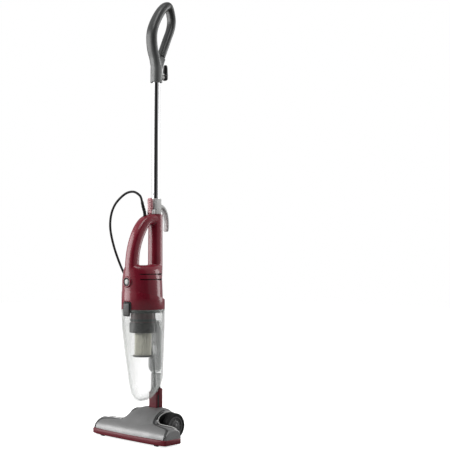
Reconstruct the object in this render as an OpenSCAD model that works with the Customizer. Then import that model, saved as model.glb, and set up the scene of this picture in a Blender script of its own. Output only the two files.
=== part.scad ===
// Two-in-one upright stick vacuum cleaner: floor head, tilting neck, clear dust cup,
// motor unit with a handle, plug-in wand and loop grip.
// Millimetres, +Z up, front towards -Y, x = 0 is the plane of symmetry.

/* [Floor head] */
// Half of the width of the floor head
head_half_w = 133; // [125:1:140]
// Height of the front ridge of the head cover
head_ridge_z = 43; // [40:1:46]
// Height of the top of the hump over the wheels
hump_top_z = 73; // [71:1:75]
// Top of the coloured band round the base
band_top_z = 17; // [14:1:19]

/* [Wheels] */
// Radius of the rear wheels
wheel_r = 32; // [30:0.5:33]
// Width of one tyre
wheel_w = 16; // [12:1:18]
// Distance of the inner face of a wheel from the middle
wheel_in_x = 56; // [55:1:58]
// Radius of the wheel axle
axle_r = 4; // [3:0.5:5]

/* [Neck] */
// Distance of the tilt axis behind the origin
hinge_y = 23.5; // [23:0.5:24]
// Half of the width of the neck
neck_half_w = 15; // [14:0.5:15.5]
// Height of the back edge of the neck
neck_top_z = 128; // [124:1:130]

/* [Dust cup and motor unit] */
// Radius of the dust cup and motor unit where they meet
body_r = 54; // [53.5:0.5:54]
// Height of the seam between the dust cup and the motor unit
seam_z = 320; // [318:1:322]
// Thickness of the moulded walls
wall = 2.4; // [2:0.2:3]
// Radius of the pleated filter
filter_r = 21; // [18:1:23]
// Height of the bottom of the filter
filter_z = 203; // [201:1:210]

/* [Wand and grip] */
// Radius of the wand tube
tube_r = 9.8; // [9:0.1:10.4]
// Distance of the wand axis behind the origin
wand_y = 18.5; // [18:0.5:19]
// Height of the top of the motor unit, where the wand plugs in
housing_top_z = 557; // [555:1:560]
// Height of the top of the wand collar
collar_top_z = 597; // [593:1:601]
// Height of the lower end of the grip
grip_z = 893; // [890:1:900]

/* [Mains cord] */
// Diameter of the mains cord
cord_d = 6; // [5:0.5:7]

/* [Hidden] */

fit = 0.05;
gap = 0.4;
body_y = -21.5;
hinge_z = wheel_r;
neck_low_z = 54.2;
hump_half_w = 49;
slot_half_w = neck_half_w + 1;
drum_r = 21.8;

// Colours
burgundy = [0.42, 0.1, 0.16];
dark_red = [0.3, 0.08, 0.12];
metallic = [0.5, 0.5, 0.5];
charcoal = [0.25, 0.26, 0.26];
black = [0.06, 0.06, 0.06];
clear = [0.85, 0.87, 0.86, 0.45];
cream = [0.85, 0.84, 0.76];
chrome = [0.8, 0.8, 0.82];
copper = [0.7, 0.4, 0.2];
grey = [0.6, 0.6, 0.6];

// Cross-sections of the bar of the floor head: [x, how far the front is behind the bow's middle, height factor]
bar_front_y = -77;
bar_back_y = -17;
bar_slices = [[-1, 9, 0.9], [-0.975, 7.5, 0.97], [-0.6, 2, 1], [0, 0, 1], [0.6, 2, 1], [0.975, 7.5, 0.97], [1, 9, 0.9]];

// Cross-sections of the hump, front to back: [y, half width, top height]
hump_slices = [
    [-58, 78, head_ridge_z - 3], [-42, 66, 52], [-22, 55, 64], [-2, hump_half_w, hump_top_z - 2],
    [16, hump_half_w, hump_top_z], [36, hump_half_w, hump_top_z - 3], [50, hump_half_w - 2, 58],
    [56, hump_half_w - 4, 38]
];

// Rings down the dust cup: [y, z, half width, half depth]
cup_rings = [
    [body_y, seam_z, body_r, body_r], [-20.7, 281, 53.2, 53.2], [-19, 250, 51.5, 51.5], [-15.8, 203, 48.3, 48.3],
    [-12.8, 165, 45.3, 45.3], [-8.5, 135, 42.5, 45.5], [-9.5, 121, 36, 42], [-13.5, 104, 25, 29], [-17.5, 95, 14, 18]
];
cup_tilts = [0, 0, 0, 0, 4, 27, 27, 19.5, 10];

// Rings up the motor unit: [y, z, half width, half depth]
unit_rings = [
    [body_y, seam_z + 0.3, body_r, body_r], [-24, 345, 50.5, 51.5], [-24.6, 363, 50, 51], [-25.2, 391, 49, 50.3],
    [-24.6, 404, 46.5, 50.8], [-23.4, 416, 43, 51.6], [-22, 424, 37, 52.5], [-21, 429, 28, 52]
];
skirt_rings = [
    [body_y, seam_z + 0.3, body_r, body_r], [body_y, 346, body_r - 0.1, body_r], [body_y, 376, body_r - 0.4, body_r]
];

// Centre line of the front arm of the handle: [y, z, half width, half thickness]
arm_path = [
    [-58.5, 396, 17, 16], [-59.5, 428, 16.5, 15.5], [-56.5, 460, 16, 15], [-48, 490, 16, 15], [-35, 517, 16.5, 14.5],
    [-20, 536, 17, 13], [-4, 544, 17, 13], [14, 544.5, 17, 12.5]
];
// Centre line of the back arm, which is the socket of the wand
socket_path = [[12, 350, 6, 7], [15.5, 378, 14, 14], [wand_y, 404, 17, 17], [wand_y, housing_top_z, 17, 17]];

// Centre line of the loop of the grip: [y, z, half width, half thickness]
loop_path = [
    [18, 928, 13, 11], [16, 940, 14, 11.5], [12, 956, 14.5, 11], [5, 975, 15, 10.5], [1.5, 1000, 15, 10.5], [3.5, 1024, 15, 10.5],
    [14, 1050, 14.5, 10.5], [32, 1078, 14, 10.5], [51, 1097, 13, 10.5], [61.5, 1092, 12.5, 9], [68.5, 1074, 12.5, 8.5],
    [70.5, 1056, 12.5, 8.5], [66, 1035, 12.5, 8.5], [55, 1010, 12.5, 8.5], [43, 982, 12.5, 8.5], [34, 960, 12, 8]
];

// Route of the mains cord, from the strain relief to the coil
cord_r = cord_d / 2;
relief_foot = [0, -18, housing_top_z - 2];
relief_top = [-2, -26, housing_top_z + 31];
cord_route = [
    relief_top, [-5, -28, 600], [-12, -32, 608], [-24, -36, 613], [-40, -41, 611], [-58, -45, 601], [-78, -49, 582],
    [-94, -48, 556], [-106, -40, 521], [-112, -22, 475], [-110, 0, 425], [-100, 22, 375], [-86, 40, 320],
    [-70, 54, 260], [-57, 62, 200], [-50, 66, 140], [-49, 66, 80], [-49, 66, 30], [-48, 69, 16], [-45, 79, 6.5],
    [-40, 92, 3.3], [-36, 102, 3.1]
];
button_z = 388;
lever_y = 2.2;
hook_z = 909;
latch_low_z = 304;
latch_top_z = 336;
latch_pivot_z = 323;
coil_mid_r = 35;
coil_half_w = 15;
coil_h = 24.2;
coil_x = -80;
coil_y = 119;
// Short tail from the coil to the plug
tail_route = [[-127, 101, 21.1], [-127, 92, 18], [-125.5, 82, 12], [-124, 74, 9], [-123.5, 68, 8.5]];
plug_at = [-123.5, 50, 0];

// Points between p1 and p2 on a smooth curve through p0, p1, p2 and p3
function curve(p0, p1, p2, p3, t) =
    0.5 * (2 * p1 + (p2 - p0) * t + (2 * p0 - 5 * p1 + 4 * p2 - p3) * t * t
    + (3 * p1 - p0 - 3 * p2 + p3) * t * t * t);
function at(p, i) = p[max(0, min(len(p) - 1, i))];
function smooth(p, n) = [
    for (i = [0 : len(p) - 2]) for (k = [0 : n - 1]) curve(at(p, i - 1), p[i], p[i + 1], at(p, i + 2), k / n),
    p[len(p) - 1]
];
function unit(v) = v / norm(v);
function heading(p, i) = unit(at(p, i + 1) - at(p, i - 1));

function squircle(a, rx, ry, e) = [
    rx * sign(cos(a)) * pow(abs(cos(a)), 2 / e),
    ry * sign(sin(a)) * pow(abs(sin(a)), 2 / e)
];
// A closed solid through rings of points that run anticlockwise about its heading
module loft(rings) {
    n = len(rings);
    m = len(rings[0]);
    points = [for (r = rings) for (q = r) q];
    walls = [for (i = [0 : n - 2]) for (k = [0 : m - 1])
        let (a = i * m + k, b = i * m + (k + 1) % m)
        each [[a, a + m, b], [b, a + m, b + m]]];
    caps = [[for (k = [0 : m - 1]) k], [for (k = [m - 1 : -1 : 0]) (n - 1) * m + k]];
    polyhedron(points = points, faces = concat(walls, caps), convexity = 6);
}
function backwards(list) = [for (i = [len(list) - 1 : -1 : 0]) list[i]];

// Ring round a point of the YZ plane: p = [y, z, half width, half depth], turned about X
function rib(p, turn, e = 2, sides = 32) = [
    for (k = [0 : sides - 1])
        let (q = squircle(k * 360 / sides, p[2], p[3], e))
        [q[0], p[0] + q[1] * cos(turn), p[1] + q[1] * sin(turn)]
];
function turn_of(p, i) = let (h = at(p, i + 1) - at(p, i - 1)) atan2(-h[0], h[1]);
// A solid along a path in the YZ plane
module run(path, sides = 24) {
    loft([for (i = [0 : len(path) - 1]) rib(path[i], turn_of(path, i), 2, sides)]);
}
// A solid through level or tilted rings, lowest first
module stack(rings, tilts = [], e = 2, sides = 48) {
    loft([for (i = [0 : len(rings) - 1]) rib(rings[i], len(tilts) > 0 ? tilts[i] : 0, e, sides)]);
}
function inset(rings, t, lift = 0) = [for (r = rings) [r[0], r[1] + lift, r[2] - t, r[3] - t]];

// A bar along X
module along_x(r, x0, x1, fn = 64) {
    translate([x0, 0, 0])
        rotate([0, 90, 0])
            cylinder(h = x1 - x0, r = r, $fn = fn);
}
// A rounded block centred on x = 0 and y = 0
module block(w, d, z0, z1, r = 2) {
    translate([0, 0, z0])
        linear_extrude(z1 - z0)
            hull()
                for (sx = [-1, 1])
                    for (sy = [-1, 1])
                        translate([sx * (w / 2 - r), sy * (d / 2 - r)])
                            circle(r, $fn = 24);
}

// ---------- Floor head ----------
// Outline of the bar seen from its end: front at y = f, ridge at z = t
function bar_outline(f, t, b, floor_z) = [
    [b, floor_z], [b - 1, t * 0.6], [b - 6, t * 0.8], [b - 14, t * 0.96], [min(f + 36, b - 18), t], [f + 26, t * 0.98],
    [f + 16, t * 0.88], [f + 7, t * 0.72], [f + 2, 23], [f + 1, floor_z]
];
module bar_solid(t, floor_z) {
    loft([for (s = bar_slices)
        [for (q = bar_outline(bar_front_y + s[1] + t, head_ridge_z * s[2] - t, bar_back_y - t, floor_z))
            [s[0] * (head_half_w - 1 - t), q[0], q[1]]]]);
}
module hump_solid(t, floor_z, slices = hump_slices) {
    loft([for (s = slices)
        [for (k = [12 : -1 : 0])
            let (q = squircle(k * 15, s[1] - t, s[2] - t - floor_z, 3.2))
            [q[0], s[0], q[1] + floor_z]]]);
}
module head_cover() {
    color(metallic)
        difference() {
            union() {
                bar_solid(0, band_top_z);
                hump_solid(0, band_top_z);
            }
            bar_solid(wall, band_top_z - 5);
            hump_solid(wall, band_top_z - 5, [for (s = hump_slices) [s[0] * 0.96, s[1], s[2]]]);
            // Slot that the neck swings back through
            translate([-slot_half_w, 11, 30])
                cube([2 * slot_half_w, 60, 60]);
            translate([0, hinge_y, hinge_z])
                along_x(axle_r + 1, -60, 60);
        }
}
// Plan of the base: the bowed bar
module base_plan(t) {
    hull()
        for (s = bar_slices)
            for (y = [bar_front_y + s[1] + t - 1, bar_back_y - t + 1])
                translate([s[0] * (head_half_w - t), y])
                    circle(0.5, $fn = 16);
}
module base_band() {
    color(dark_red)
        difference() {
            translate([0, 0, 4])
                linear_extrude(band_top_z - 4)
                    base_plan(0);
            translate([0, 0, 3])
                linear_extrude(band_top_z)
                    base_plan(3);
            // Open to the rear floor under the hump
            translate([-hump_half_w, bar_back_y - 12, 3])
                cube([2 * hump_half_w, 30, 30]);
        }
}
module sole_plate() {
    color(black)
        difference() {
            union() {
                translate([0, 0, 4.5])
                    linear_extrude(4)
                        base_plan(3.3);
                translate([-hump_half_w + 3, bar_back_y - 4, 4.5])
                    cube([2 * hump_half_w - 6, 36, 4]);
                // Walls beside the drum that carry the axle
                for (s = [-1, 1])
                    translate([s * (hump_half_w - 12) - 4, 8, 4.5])
                        cube([8, 32, 38]);
            }
            // Suction mouth
            translate([-98, -60, 0])
                cube([196, 17, 20]);
            translate([0, hinge_y, hinge_z])
                along_x(axle_r + fit, -60, 60);
            for (x = [-110, 110])
                for (y = [-60, -28])
                    translate([x, y, 0])
                        cylinder(h = 20, r = 1.7, $fn = 32);
        }
}
module sole_screws() {
    color(chrome)
        for (x = [-110, 110])
            for (y = [-60, -28])
                translate([x, y, 3.3]) {
                    cylinder(h = 1.2, r = 3, $fn = 32);
                    cylinder(h = 12, r = 1.5, $fn = 32);
                }
}
module front_glides() {
    color(black)
        for (x = [-98, 98])
            translate([x, -66, 0])
                block(14, 5, 0, 4.5, 2);
}
module lint_strips() {
    color([0.45, 0.1, 0.14])
        for (y = [-63.5, -40])
            translate([-90, y, 1.5])
                cube([180, 2.4, 3]);
}
module mouth_duct() {
    color(black)
        difference() {
            translate([0, -38, 0])
                block(2 * slot_half_w + 6, 46, 8.5, 30, 3);
            translate([0, -38, 0])
                block(2 * slot_half_w, 40, 8, 27, 2);
            translate([-slot_half_w + 1, -24, 11])
                cube([2 * slot_half_w - 2, 20, 14]);
        }
}
module wheel_axle() {
    color(chrome)
        translate([0, hinge_y, hinge_z])
            along_x(axle_r, -wheel_in_x - wheel_w + 3, wheel_in_x + wheel_w - 3);
}
module axle_bosses() {
    color(black)
        for (s = [-1, 1])
            translate([0, hinge_y, hinge_z])
                mirror([s < 0 ? 1 : 0, 0, 0])
                    difference() {
                        along_x(15, hump_half_w + gap, wheel_in_x - 0.6);
                        along_x(axle_r + fit, 40, 60);
                    }
}

// ---------- Wheels ----------
module tyre() {
    edge = 3.5;
    color(black)
        rotate([0, 90, 0])
            rotate_extrude($fn = 96)
                polygon(concat(
                    [[wheel_r - 8, wheel_in_x]],
                    [for (a = [0 : 15 : 90]) [wheel_r - edge + edge * sin(a), wheel_in_x + edge - edge * cos(a)]],
                    [for (a = [0 : 15 : 90]) [wheel_r - edge + edge * cos(a), wheel_in_x + wheel_w - edge + edge * sin(a)]],
                    [[wheel_r - 8, wheel_in_x + wheel_w]]
                ));
}
module hub() {
    color(charcoal)
        rotate([0, 90, 0])
            rotate_extrude($fn = 96)
                polygon([
                    [axle_r + fit, wheel_in_x + 0.5], [wheel_r - 8.1, wheel_in_x + 0.5],
                    [wheel_r - 8.1, wheel_in_x + wheel_w - 1], [21, wheel_in_x + wheel_w - 1],
                    [20, wheel_in_x + wheel_w - 3], [14, wheel_in_x + wheel_w - 3], [13, wheel_in_x + wheel_w - 1.5],
                    [7, wheel_in_x + wheel_w - 1.5], [5, wheel_in_x + wheel_w + 1], [0.5, wheel_in_x + wheel_w + 1.4],
                    [0.5, wheel_in_x + wheel_w - 2], [axle_r + fit, wheel_in_x + wheel_w - 2]
                ]);
}
module at_hinge(s) {
    translate([0, hinge_y, hinge_z])
        mirror([s < 0 ? 1 : 0, 0, 0])
            children();
}
module right_tyre() { at_hinge(1) tyre(); }
module left_tyre() { at_hinge(-1) tyre(); }
module right_hub() { at_hinge(1) hub(); }
module left_hub() { at_hinge(-1) hub(); }

// ---------- Neck ----------
module neck_shell() {
    color(dark_red)
        difference() {
            translate([0, hinge_y, 0])
                block(2 * neck_half_w, 21, neck_low_z, neck_top_z, 2.5);
            translate([0, hinge_y, 0])
                block(2 * neck_half_w - 6, 15.6, 40, neck_top_z + 1, 1.5);
            // Slanting top under the dust cup
            translate([-30, hinge_y - 11, 107])
                rotate([45, 0, 0])
                    cube([60, 60, 60]);
            // Grooves for the black strips
            for (s = [-1, 1])
                translate([s * neck_half_w - 1.5, hinge_y - 8, 53])
                    cube([3, 5, 80]);
            // Window for the catch
            translate([-5.5, hinge_y + 5, neck_top_z - 18])
                cube([11, 10, 13]);
        }
}
module neck_strips() {
    color(black)
        for (s = [-1, 1])
            translate([s * (neck_half_w - 0.7) - 0.7, hinge_y - 7.9, 54])
                cube([1.4, 4.8, 52]);
}
module neck_drum() {
    color(black)
        difference() {
            union() {
                translate([0, hinge_y, hinge_z])
                    along_x(drum_r, -neck_half_w, neck_half_w, 96);
                translate([0, hinge_y, 0])
                    block(2 * neck_half_w - 6.4, 15.2, 40, 62, 1.5);
            }
            translate([0, hinge_y, hinge_z])
                along_x(axle_r + fit, -30, 30);
            // Air passage
            translate([0, hinge_y, 0])
                block(2 * neck_half_w - 11, 7, 42, 70, 1.5);
        }
}
module neck_catch() {
    color(burgundy)
        translate([0, hinge_y + 10.2, 0])
            block(10.4, 4.4, neck_top_z - 14.6, neck_top_z - 5.6, 1);
}

// ---------- Dust cup ----------
module spout(t, z0, z1) {
    translate([0, hinge_y, 0])
        block(22 - 2 * t, 14.4 - 2 * t, z0, z1, 1.5);
}
module dust_cup() {
    color(clear)
        difference() {
            stack(backwards(cup_rings), backwards(cup_tilts));
            stack(backwards(inset(cup_rings, wall, wall)), backwards(cup_tilts));
            spout(0.1, 90, 157);
        }
}
module cup_spout() {
    color(clear)
        difference() {
            spout(0, 76, 157.6);
            spout(1.6, 70, 170);
        }
}
module inlet_duct() {
    color(grey)
        translate([0, 19.5, 0])
            difference() {
                block(36, 12, 158, 290, 4);
                block(32, 8, 157, 286, 3);
                // Mouth that faces the front
                translate([-13, -20, 206])
                    cube([26, 20, 20]);
            }
}
module cup_seal() {
    color(black)
        translate([0, body_y, seam_z - 8])
            rotate_extrude($fn = 96)
                translate([body_r - wall - 3.2, 0])
                    square([2.8, 6]);
}

// ---------- Motor unit ----------
// Everything above the slanting edge of the skirt
module above_skirt(lift = 0) {
    translate([0, body_y, 353 + lift])
        rotate([-13.8, 0, 0])
            translate([-150, -150, 0])
                cube([300, 300, 400]);
}
module vent_slots() {
    for (z = [393, 406])
        for (s = [-1, 1])
            translate([s * 46 - 15, -57, z])
                cube([30, 51, 2.4]);
}
// Outline of the latch, seen from the front and pushed through along Y
module latch_prism(grow, z0, z1) {
    translate([0, -60, 0])
        rotate([90, 0, 0])
            linear_extrude(30)
                hull()
                    for (x = [-9, 9])
                        for (z = [z0 + 3, z1 - 3])
                            translate([x, z])
                                circle(3 + grow, $fn = 24);
}
module body_ring(r0, r1, z0, z1) {
    translate([0, body_y, z0])
        difference() {
            cylinder(h = z1 - z0, r = r1, $fn = 128);
            translate([0, 0, -1])
                cylinder(h = z1 - z0 + 2, r = r0, $fn = 128);
        }
}
module handle_housing() {
    color(burgundy)
        difference() {
            union() {
                intersection() {
                    stack(unit_rings);
                    above_skirt(0.2);
                }
                // Spigot inside the skirt
                stack(inset([unit_rings[0], unit_rings[1], unit_rings[2]], wall + 0.3));
                run(smooth(arm_path, 2));
                run(socket_path);
            }
            stack(concat([[body_y, seam_z - 1, 49, 49]], inset([for (i = [1 : 4]) unit_rings[i]], 2 * wall)));
            // Socket of the wand
            translate([0, wand_y, 468])
                cylinder(h = 200, r = tube_r + 0.5, $fn = 64);
            // Recess for the switch and its bezel
            translate([0, -60, button_z])
                rotate([90, 0, 0])
                    cylinder(h = 40, r = 12.4, $fn = 48);
            // Opening for the latch
            latch_prism(2.2, seam_z - 4, latch_top_z);
            // Hole for the cord
            translate(relief_foot - [0, 0, 24])
                cylinder(h = 60, r = 4.3, $fn = 32);
            vent_slots();
        }
}
module lower_skirt() {
    color(burgundy)
        difference() {
            stack(skirt_rings);
            stack([[body_y, seam_z - 1, body_r - wall, body_r - wall], [body_y, 346, body_r - wall - 0.1, body_r - wall],
                [body_y, 380, body_r - wall - 0.4, body_r - wall]]);
            above_skirt();
            latch_prism(2.2, seam_z - 4, latch_top_z);
        }
}
module motor_cup() {
    color(dark_red)
        translate([0, body_y, 0])
            difference() {
                union() {
                    translate([0, 0, 266])
                        cylinder(h = 53, r1 = 30, r2 = 31, $fn = 64);
                    translate([0, 0, seam_z + 0.3])
                        cylinder(h = 2.4, r = 48, $fn = 64);
                    translate([0, 0, 319])
                        cylinder(h = 2, r = 31, $fn = 64);
                }
                translate([0, 0, 270])
                    cylinder(h = 60, r = 28.4, $fn = 64);
                translate([0, 0, 260])
                    cylinder(h = 60, r = 16, $fn = 64);
            }
}
module cup_gasket() {
    color(black)
        translate([0, body_y, 290])
            rotate_extrude($fn = 96)
                translate([31, 0])
                    square([1.2, 6]);
}
module motor_stator() {
    color(grey)
        translate([0, body_y, 0])
            difference() {
                translate([0, 0, 346])
                    cylinder(h = 34, r = 33, $fn = 64);
                translate([0, 0, 340])
                    cylinder(h = 60, r = 19, $fn = 64);
            }
}
module motor_bearings() {
    color(chrome)
        for (z = [338, 386])
            translate([0, body_y, z])
                difference() {
                    cylinder(h = 5, r = 9, $fn = 48);
                    translate([0, 0, -1])
                        cylinder(h = 7, r = 4 + fit, $fn = 48);
                }
}
module motor_shaft() {
    color(copper)
        translate([0, body_y, 0]) {
            translate([0, 0, 325.5])
                cylinder(h = 68, r = 4, $fn = 48);
            translate([0, 0, 347])
                cylinder(h = 32, r = 18, $fn = 64);
        }
}
module fan_wheel() {
    color(grey)
        translate([0, body_y, 0])
            difference() {
                union() {
                    translate([0, 0, 326])
                        cylinder(h = 1.2, r = 30, $fn = 64);
                    translate([0, 0, 335])
                        cylinder(h = 1.2, r = 30, $fn = 64);
                    translate([0, 0, 326])
                        cylinder(h = 10, r = 7, $fn = 48);
                    for (k = [0 : 8])
                        rotate(k * 40)
                            translate([6, -0.6, 327])
                                cube([23, 1.2, 8.5]);
                }
                translate([0, 0, 320])
                    cylinder(h = 30, r = 4, $fn = 48);
            }
}
module fan_cover() {
    color(black)
        translate([0, body_y, 0])
            difference() {
                translate([0, 0, 323.4])
                    cylinder(h = 14, r = 36, $fn = 64);
                translate([0, 0, 325])
                    cylinder(h = 11.8, r = 34, $fn = 64);
                translate([0, 0, 320])
                    cylinder(h = 40, r = 12, $fn = 64);
            }
}
module switch_box() {
    color(black)
        translate([-7, -58, 381])
            cube([14, 12, 15]);
}
module button_bezel() {
    color(burgundy)
        translate([0, -60, button_z])
            rotate([90, 0, 0])
                rotate_extrude($fn = 64)
                    polygon([[10.2, 0], [12.2, 0], [12.2, 13], [15, 13.8], [14.2, 16], [12, 17.9], [10.2, 17.4]]);
}
module power_button() {
    color(black)
        translate([0, -60.5, button_z])
            rotate([90, 0, 0])
                rotate_extrude($fn = 64)
                    polygon([[0, 0], [9.8, 0], [9.8, 15.7], [8.6, 17.2], [6, 16.8], [0, 17.6]]);
}
module canister_latch() {
    color(black)
        union() {
            intersection() {
                body_ring(body_r + 0.4, body_r + 3.5, 300, 340);
                latch_prism(0, latch_low_z, latch_top_z);
            }
            // Pivot bar and its web behind the plate
            translate([0, -73.2, latch_pivot_z])
                along_x(1.5, -8, 8, 32);
            translate([-6, -76, latch_pivot_z - 1])
                cube([12, 3, 2]);
        }
}
module latch_frame() {
    color(grey)
        difference() {
            intersection() {
                body_ring(body_r - wall, body_r + 1.4, seam_z + 0.4, 350);
                latch_prism(2.1, seam_z - 4, latch_top_z);
            }
            latch_prism(0.5, seam_z - 30, latch_top_z);
        }
}
module filter_ring() {
    color(black)
        translate([0, body_y, 262])
            difference() {
                cylinder(h = 25, r = 33.8, $fn = 64);
                translate([0, 0, 3.6])
                    cylinder(h = 30, r = 31.4, $fn = 64);
                translate([0, 0, -1])
                    cylinder(h = 7, r = 13, $fn = 64);
            }
}
module filter_pleats() {
    pleats = 30;
    color(cream)
        translate([0, body_y, filter_z + 2.5])
            linear_extrude(262 - filter_z - 2.5)
                difference() {
                    polygon([for (k = [0 : 2 * pleats - 1])
                        (k % 2 == 0 ? filter_r : filter_r - 2.4) * [cos(k * 180 / pleats), sin(k * 180 / pleats)]]);
                    circle(filter_r - 6, $fn = 48);
                }
}
module filter_cap() {
    color(charcoal)
        translate([0, body_y, filter_z - 1])
            cylinder(h = 3.5, r1 = 25, r2 = 26, $fn = 64);
}
module strain_relief() {
    color(black) {
        translate(relief_foot - [0, 0, 14])
            cylinder(h = 14, r = 4, $fn = 32);
        hull() {
            translate(relief_foot - [0, 0, 2])
                cylinder(h = 3, r = 4.1, $fn = 24);
            translate(relief_top - [0.1, 0.4, 1.5])
                rotate([13, -3.5, 0])
                    cylinder(h = 1.4, r = 3.4, $fn = 24);
        }
    }
}

// ---------- Wand and grip ----------
module wand_collar() {
    color(grey)
        difference() {
            union() {
                translate([0, wand_y, 0])
                    block(23, 23, housing_top_z + 0.4, collar_top_z, 5);
                translate([0, wand_y, 500])
                    cylinder(h = housing_top_z - 499, r = tube_r, $fn = 64);
                // Ears that carry the lever
                for (s = [-1, 1])
                    translate([s * 9 - 1.5, -1, housing_top_z + 0.6])
                        cube([3, 9, 11]);
            }
            translate([0, wand_y, housing_top_z - 2])
                cylinder(h = 60, r = tube_r - 1, $fn = 64);
            translate([0, lever_y, housing_top_z + 8])
                along_x(1.5 + fit, -20, 20, 32);
        }
}
module wand_tube() {
    color(chrome)
        translate([0, wand_y, 0])
            difference() {
                union() {
                    translate([0, 0, collar_top_z - 38])
                        cylinder(h = 60, r = tube_r - 1 - fit, $fn = 64);
                    translate([0, 0, collar_top_z + 0.05])
                        cylinder(h = grip_z + 20 - collar_top_z, r = tube_r, $fn = 64);
                }
                translate([0, 0, 500])
                    cylinder(h = 500, r = tube_r - 2.2, $fn = 64);
            }
}
module lower_hook() {
    color(grey)
        run(smooth([
            [30.1, 577, 8, 6], [36, 577.5, 8, 5], [45, 572, 8, 4.4], [52, 560, 8, 4], [56, 543, 8, 3.6],
            [56.5, 525, 8, 3.4], [55.5, 515, 7, 3]
        ], 2));
}
module release_lever() {
    color(burgundy)
        difference() {
            union() {
                hull() {
                    translate([0, lever_y, 0])
                        block(13, 6.4, 559, 569, 2);
                    translate([0, lever_y - 2.4, 0])
                        block(14, 6, 592, 598, 2);
                }
                for (k = [0 : 5])
                    translate([-6, -4.2 - 0.28 * k, 567 + k * 5])
                        cube([12, 3, 2.2]);
            }
            translate([0, lever_y, housing_top_z + 8])
                along_x(1.5 + fit, -20, 20, 32);
        }
}
module lever_pin() {
    color(chrome)
        translate([0, lever_y, housing_top_z + 8])
            along_x(1.5, -10.4, 10.4, 32);
}
module grip_loop() {
    color(charcoal)
        run(smooth(loop_path, 2), 32);
}
module grip_socket() {
    color(grey)
        difference() {
            union() {
                stack([
                    [wand_y, grip_z, 14, 13], [wand_y, 912, 14, 13], [wand_y, 926, 14.2, 12.6],
                    [wand_y - 0.5, 938, 13, 11]
                ], [], 2.6, 32);
                // Wedge between the two arms of the loop
                rotate([90, 0, 90])
                    translate([0, 0, -9])
                        linear_extrude(18)
                            polygon([[16, 927], [29, 927], [34, 942], [41.5, 956], [27, 962.5], [20, 957], [16, 938]]);
            }
            translate([0, wand_y, grip_z - 5])
                cylinder(h = 31, r = tube_r + 0.1, $fn = 64);
            // Shallow notch in the front and back of the lower edge
            translate([0, wand_y, grip_z - 4])
                rotate([0, 45, 0])
                    cube([8, 60, 8], center = true);
            translate([0, wand_y + 10.4, hook_z])
                rotate([-90, 0, 0])
                    cylinder(h = 12, r = 6.5 + fit, $fn = 48);
            translate([0, wand_y - 9, hook_z])
                rotate([90, 0, 0])
                    cylinder(h = 10, r = 2.5, $fn = 32);
        }
}
module tube_screw() {
    color(chrome)
        translate([0, wand_y - tube_r - 0.1, hook_z])
            rotate([90, 0, 0])
                cylinder(h = 3, r = 2.4, $fn = 32);
}
module hook_pivot() {
    color(grey)
        translate([0, wand_y + 10.5, hook_z])
            rotate([-90, 0, 0])
                difference() {
                    cylinder(h = 12, r = 6.5, $fn = 48);
                    translate([0, 0, 3])
                        cylinder(h = 20, r = 3 + fit, $fn = 48);
                }
}
module upper_hook() {
    color(black) {
        translate([0, wand_y + 14, hook_z])
            rotate([-90, 0, 0])
                cylinder(h = 12, r = 3, $fn = 48);
        translate([0, wand_y + 23, hook_z])
            rotate([-90, 0, 0])
                cylinder(h = 7, r1 = 6, r2 = 7, $fn = 48);
        hull() {
            translate([0, 49, hook_z])
                sphere(6, $fn = 32);
            translate([0, 50, hook_z + 29])
                sphere(4.4, $fn = 32);
        }
    }
}

// ---------- Mains cord ----------
function frames(p, i = 0, n = undef) =
    i >= len(p) ? [] :
    let (t = heading(p, i))
    let (m = n == undef ? unit(cross(t, [1, 0, 0])) : unit(n - (n * t) * t))
    concat([[p[i], m, cross(t, m)]], frames(p, i + 1, m));
module swept_cord(path, r, sides) {
    loft([for (q = frames(path)) [for (k = [0 : sides - 1])
        q[0] + r * (cos(k * 360 / sides) * q[1] + sin(k * 360 / sides) * q[2])]]);
}
module cord() {
    color(black)
        swept_cord(smooth(cord_route, 3), cord_r, 8);
}
module cord_tail() {
    color(black)
        swept_cord(smooth(tail_route, 2), cord_r, 8);
}
module cord_coil() {
    color(black)
        translate([coil_x, coil_y, 0])
            rotate_extrude($fn = 64)
                translate([coil_mid_r - coil_half_w, 0])
                    square([2 * coil_half_w, coil_h]);
}
module coil_tie() {
    color(grey)
        translate([coil_x, coil_y + coil_mid_r, 0])
            difference() {
                translate([-4, -coil_half_w - 1.5, 0.3])
                    cube([8, 2 * coil_half_w + 3, coil_h + 1.2]);
                translate([-5, -coil_half_w - 0.4, -1])
                    cube([10, 2 * coil_half_w + 0.6, coil_h + 1.3]);
            }
}
module plug_body() {
    color(black)
        difference() {
            union() {
                translate(plug_at)
                    block(26, 20, 0.3, 17, 4);
                translate(plug_at + [0, 9, 8.5])
                    rotate([-90, 0, 0])
                        cylinder(h = 9, r1 = 7, r2 = 4.4, $fn = 48);
            }
            for (s = [-1, 1])
                translate(plug_at + [s * 6.5, -8, 8.5])
                    rotate([90, 0, 0])
                        cylinder(h = 10, r = 2.3 + fit, $fn = 32);
        }
}
module plug_pins() {
    color(chrome)
        for (s = [-1, 1])
            translate(plug_at + [s * 6.5, -8, 8.5])
                rotate([90, 0, 0])
                    cylinder(h = 21, r = 2.3, $fn = 32);
}

head_cover();
base_band();
sole_plate();
front_glides();
lint_strips();
mouth_duct();
wheel_axle();
axle_bosses();
sole_screws();
right_tyre();
right_hub();
left_tyre();
left_hub();
neck_shell();
neck_strips();
neck_drum();
neck_catch();
dust_cup();
cup_spout();
inlet_duct();
cup_seal();
handle_housing();
lower_skirt();
motor_cup();
cup_gasket();
motor_stator();
motor_bearings();
motor_shaft();
fan_wheel();
fan_cover();
switch_box();
button_bezel();
power_button();
canister_latch();
latch_frame();
filter_ring();
filter_pleats();
filter_cap();
wand_collar();
wand_tube();
lower_hook();
release_lever();
lever_pin();
grip_loop();
grip_socket();
tube_screw();
hook_pivot();
upper_hook();
strain_relief();
cord();
cord_tail();
cord_coil();
coil_tie();
plug_body();
plug_pins();
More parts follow.
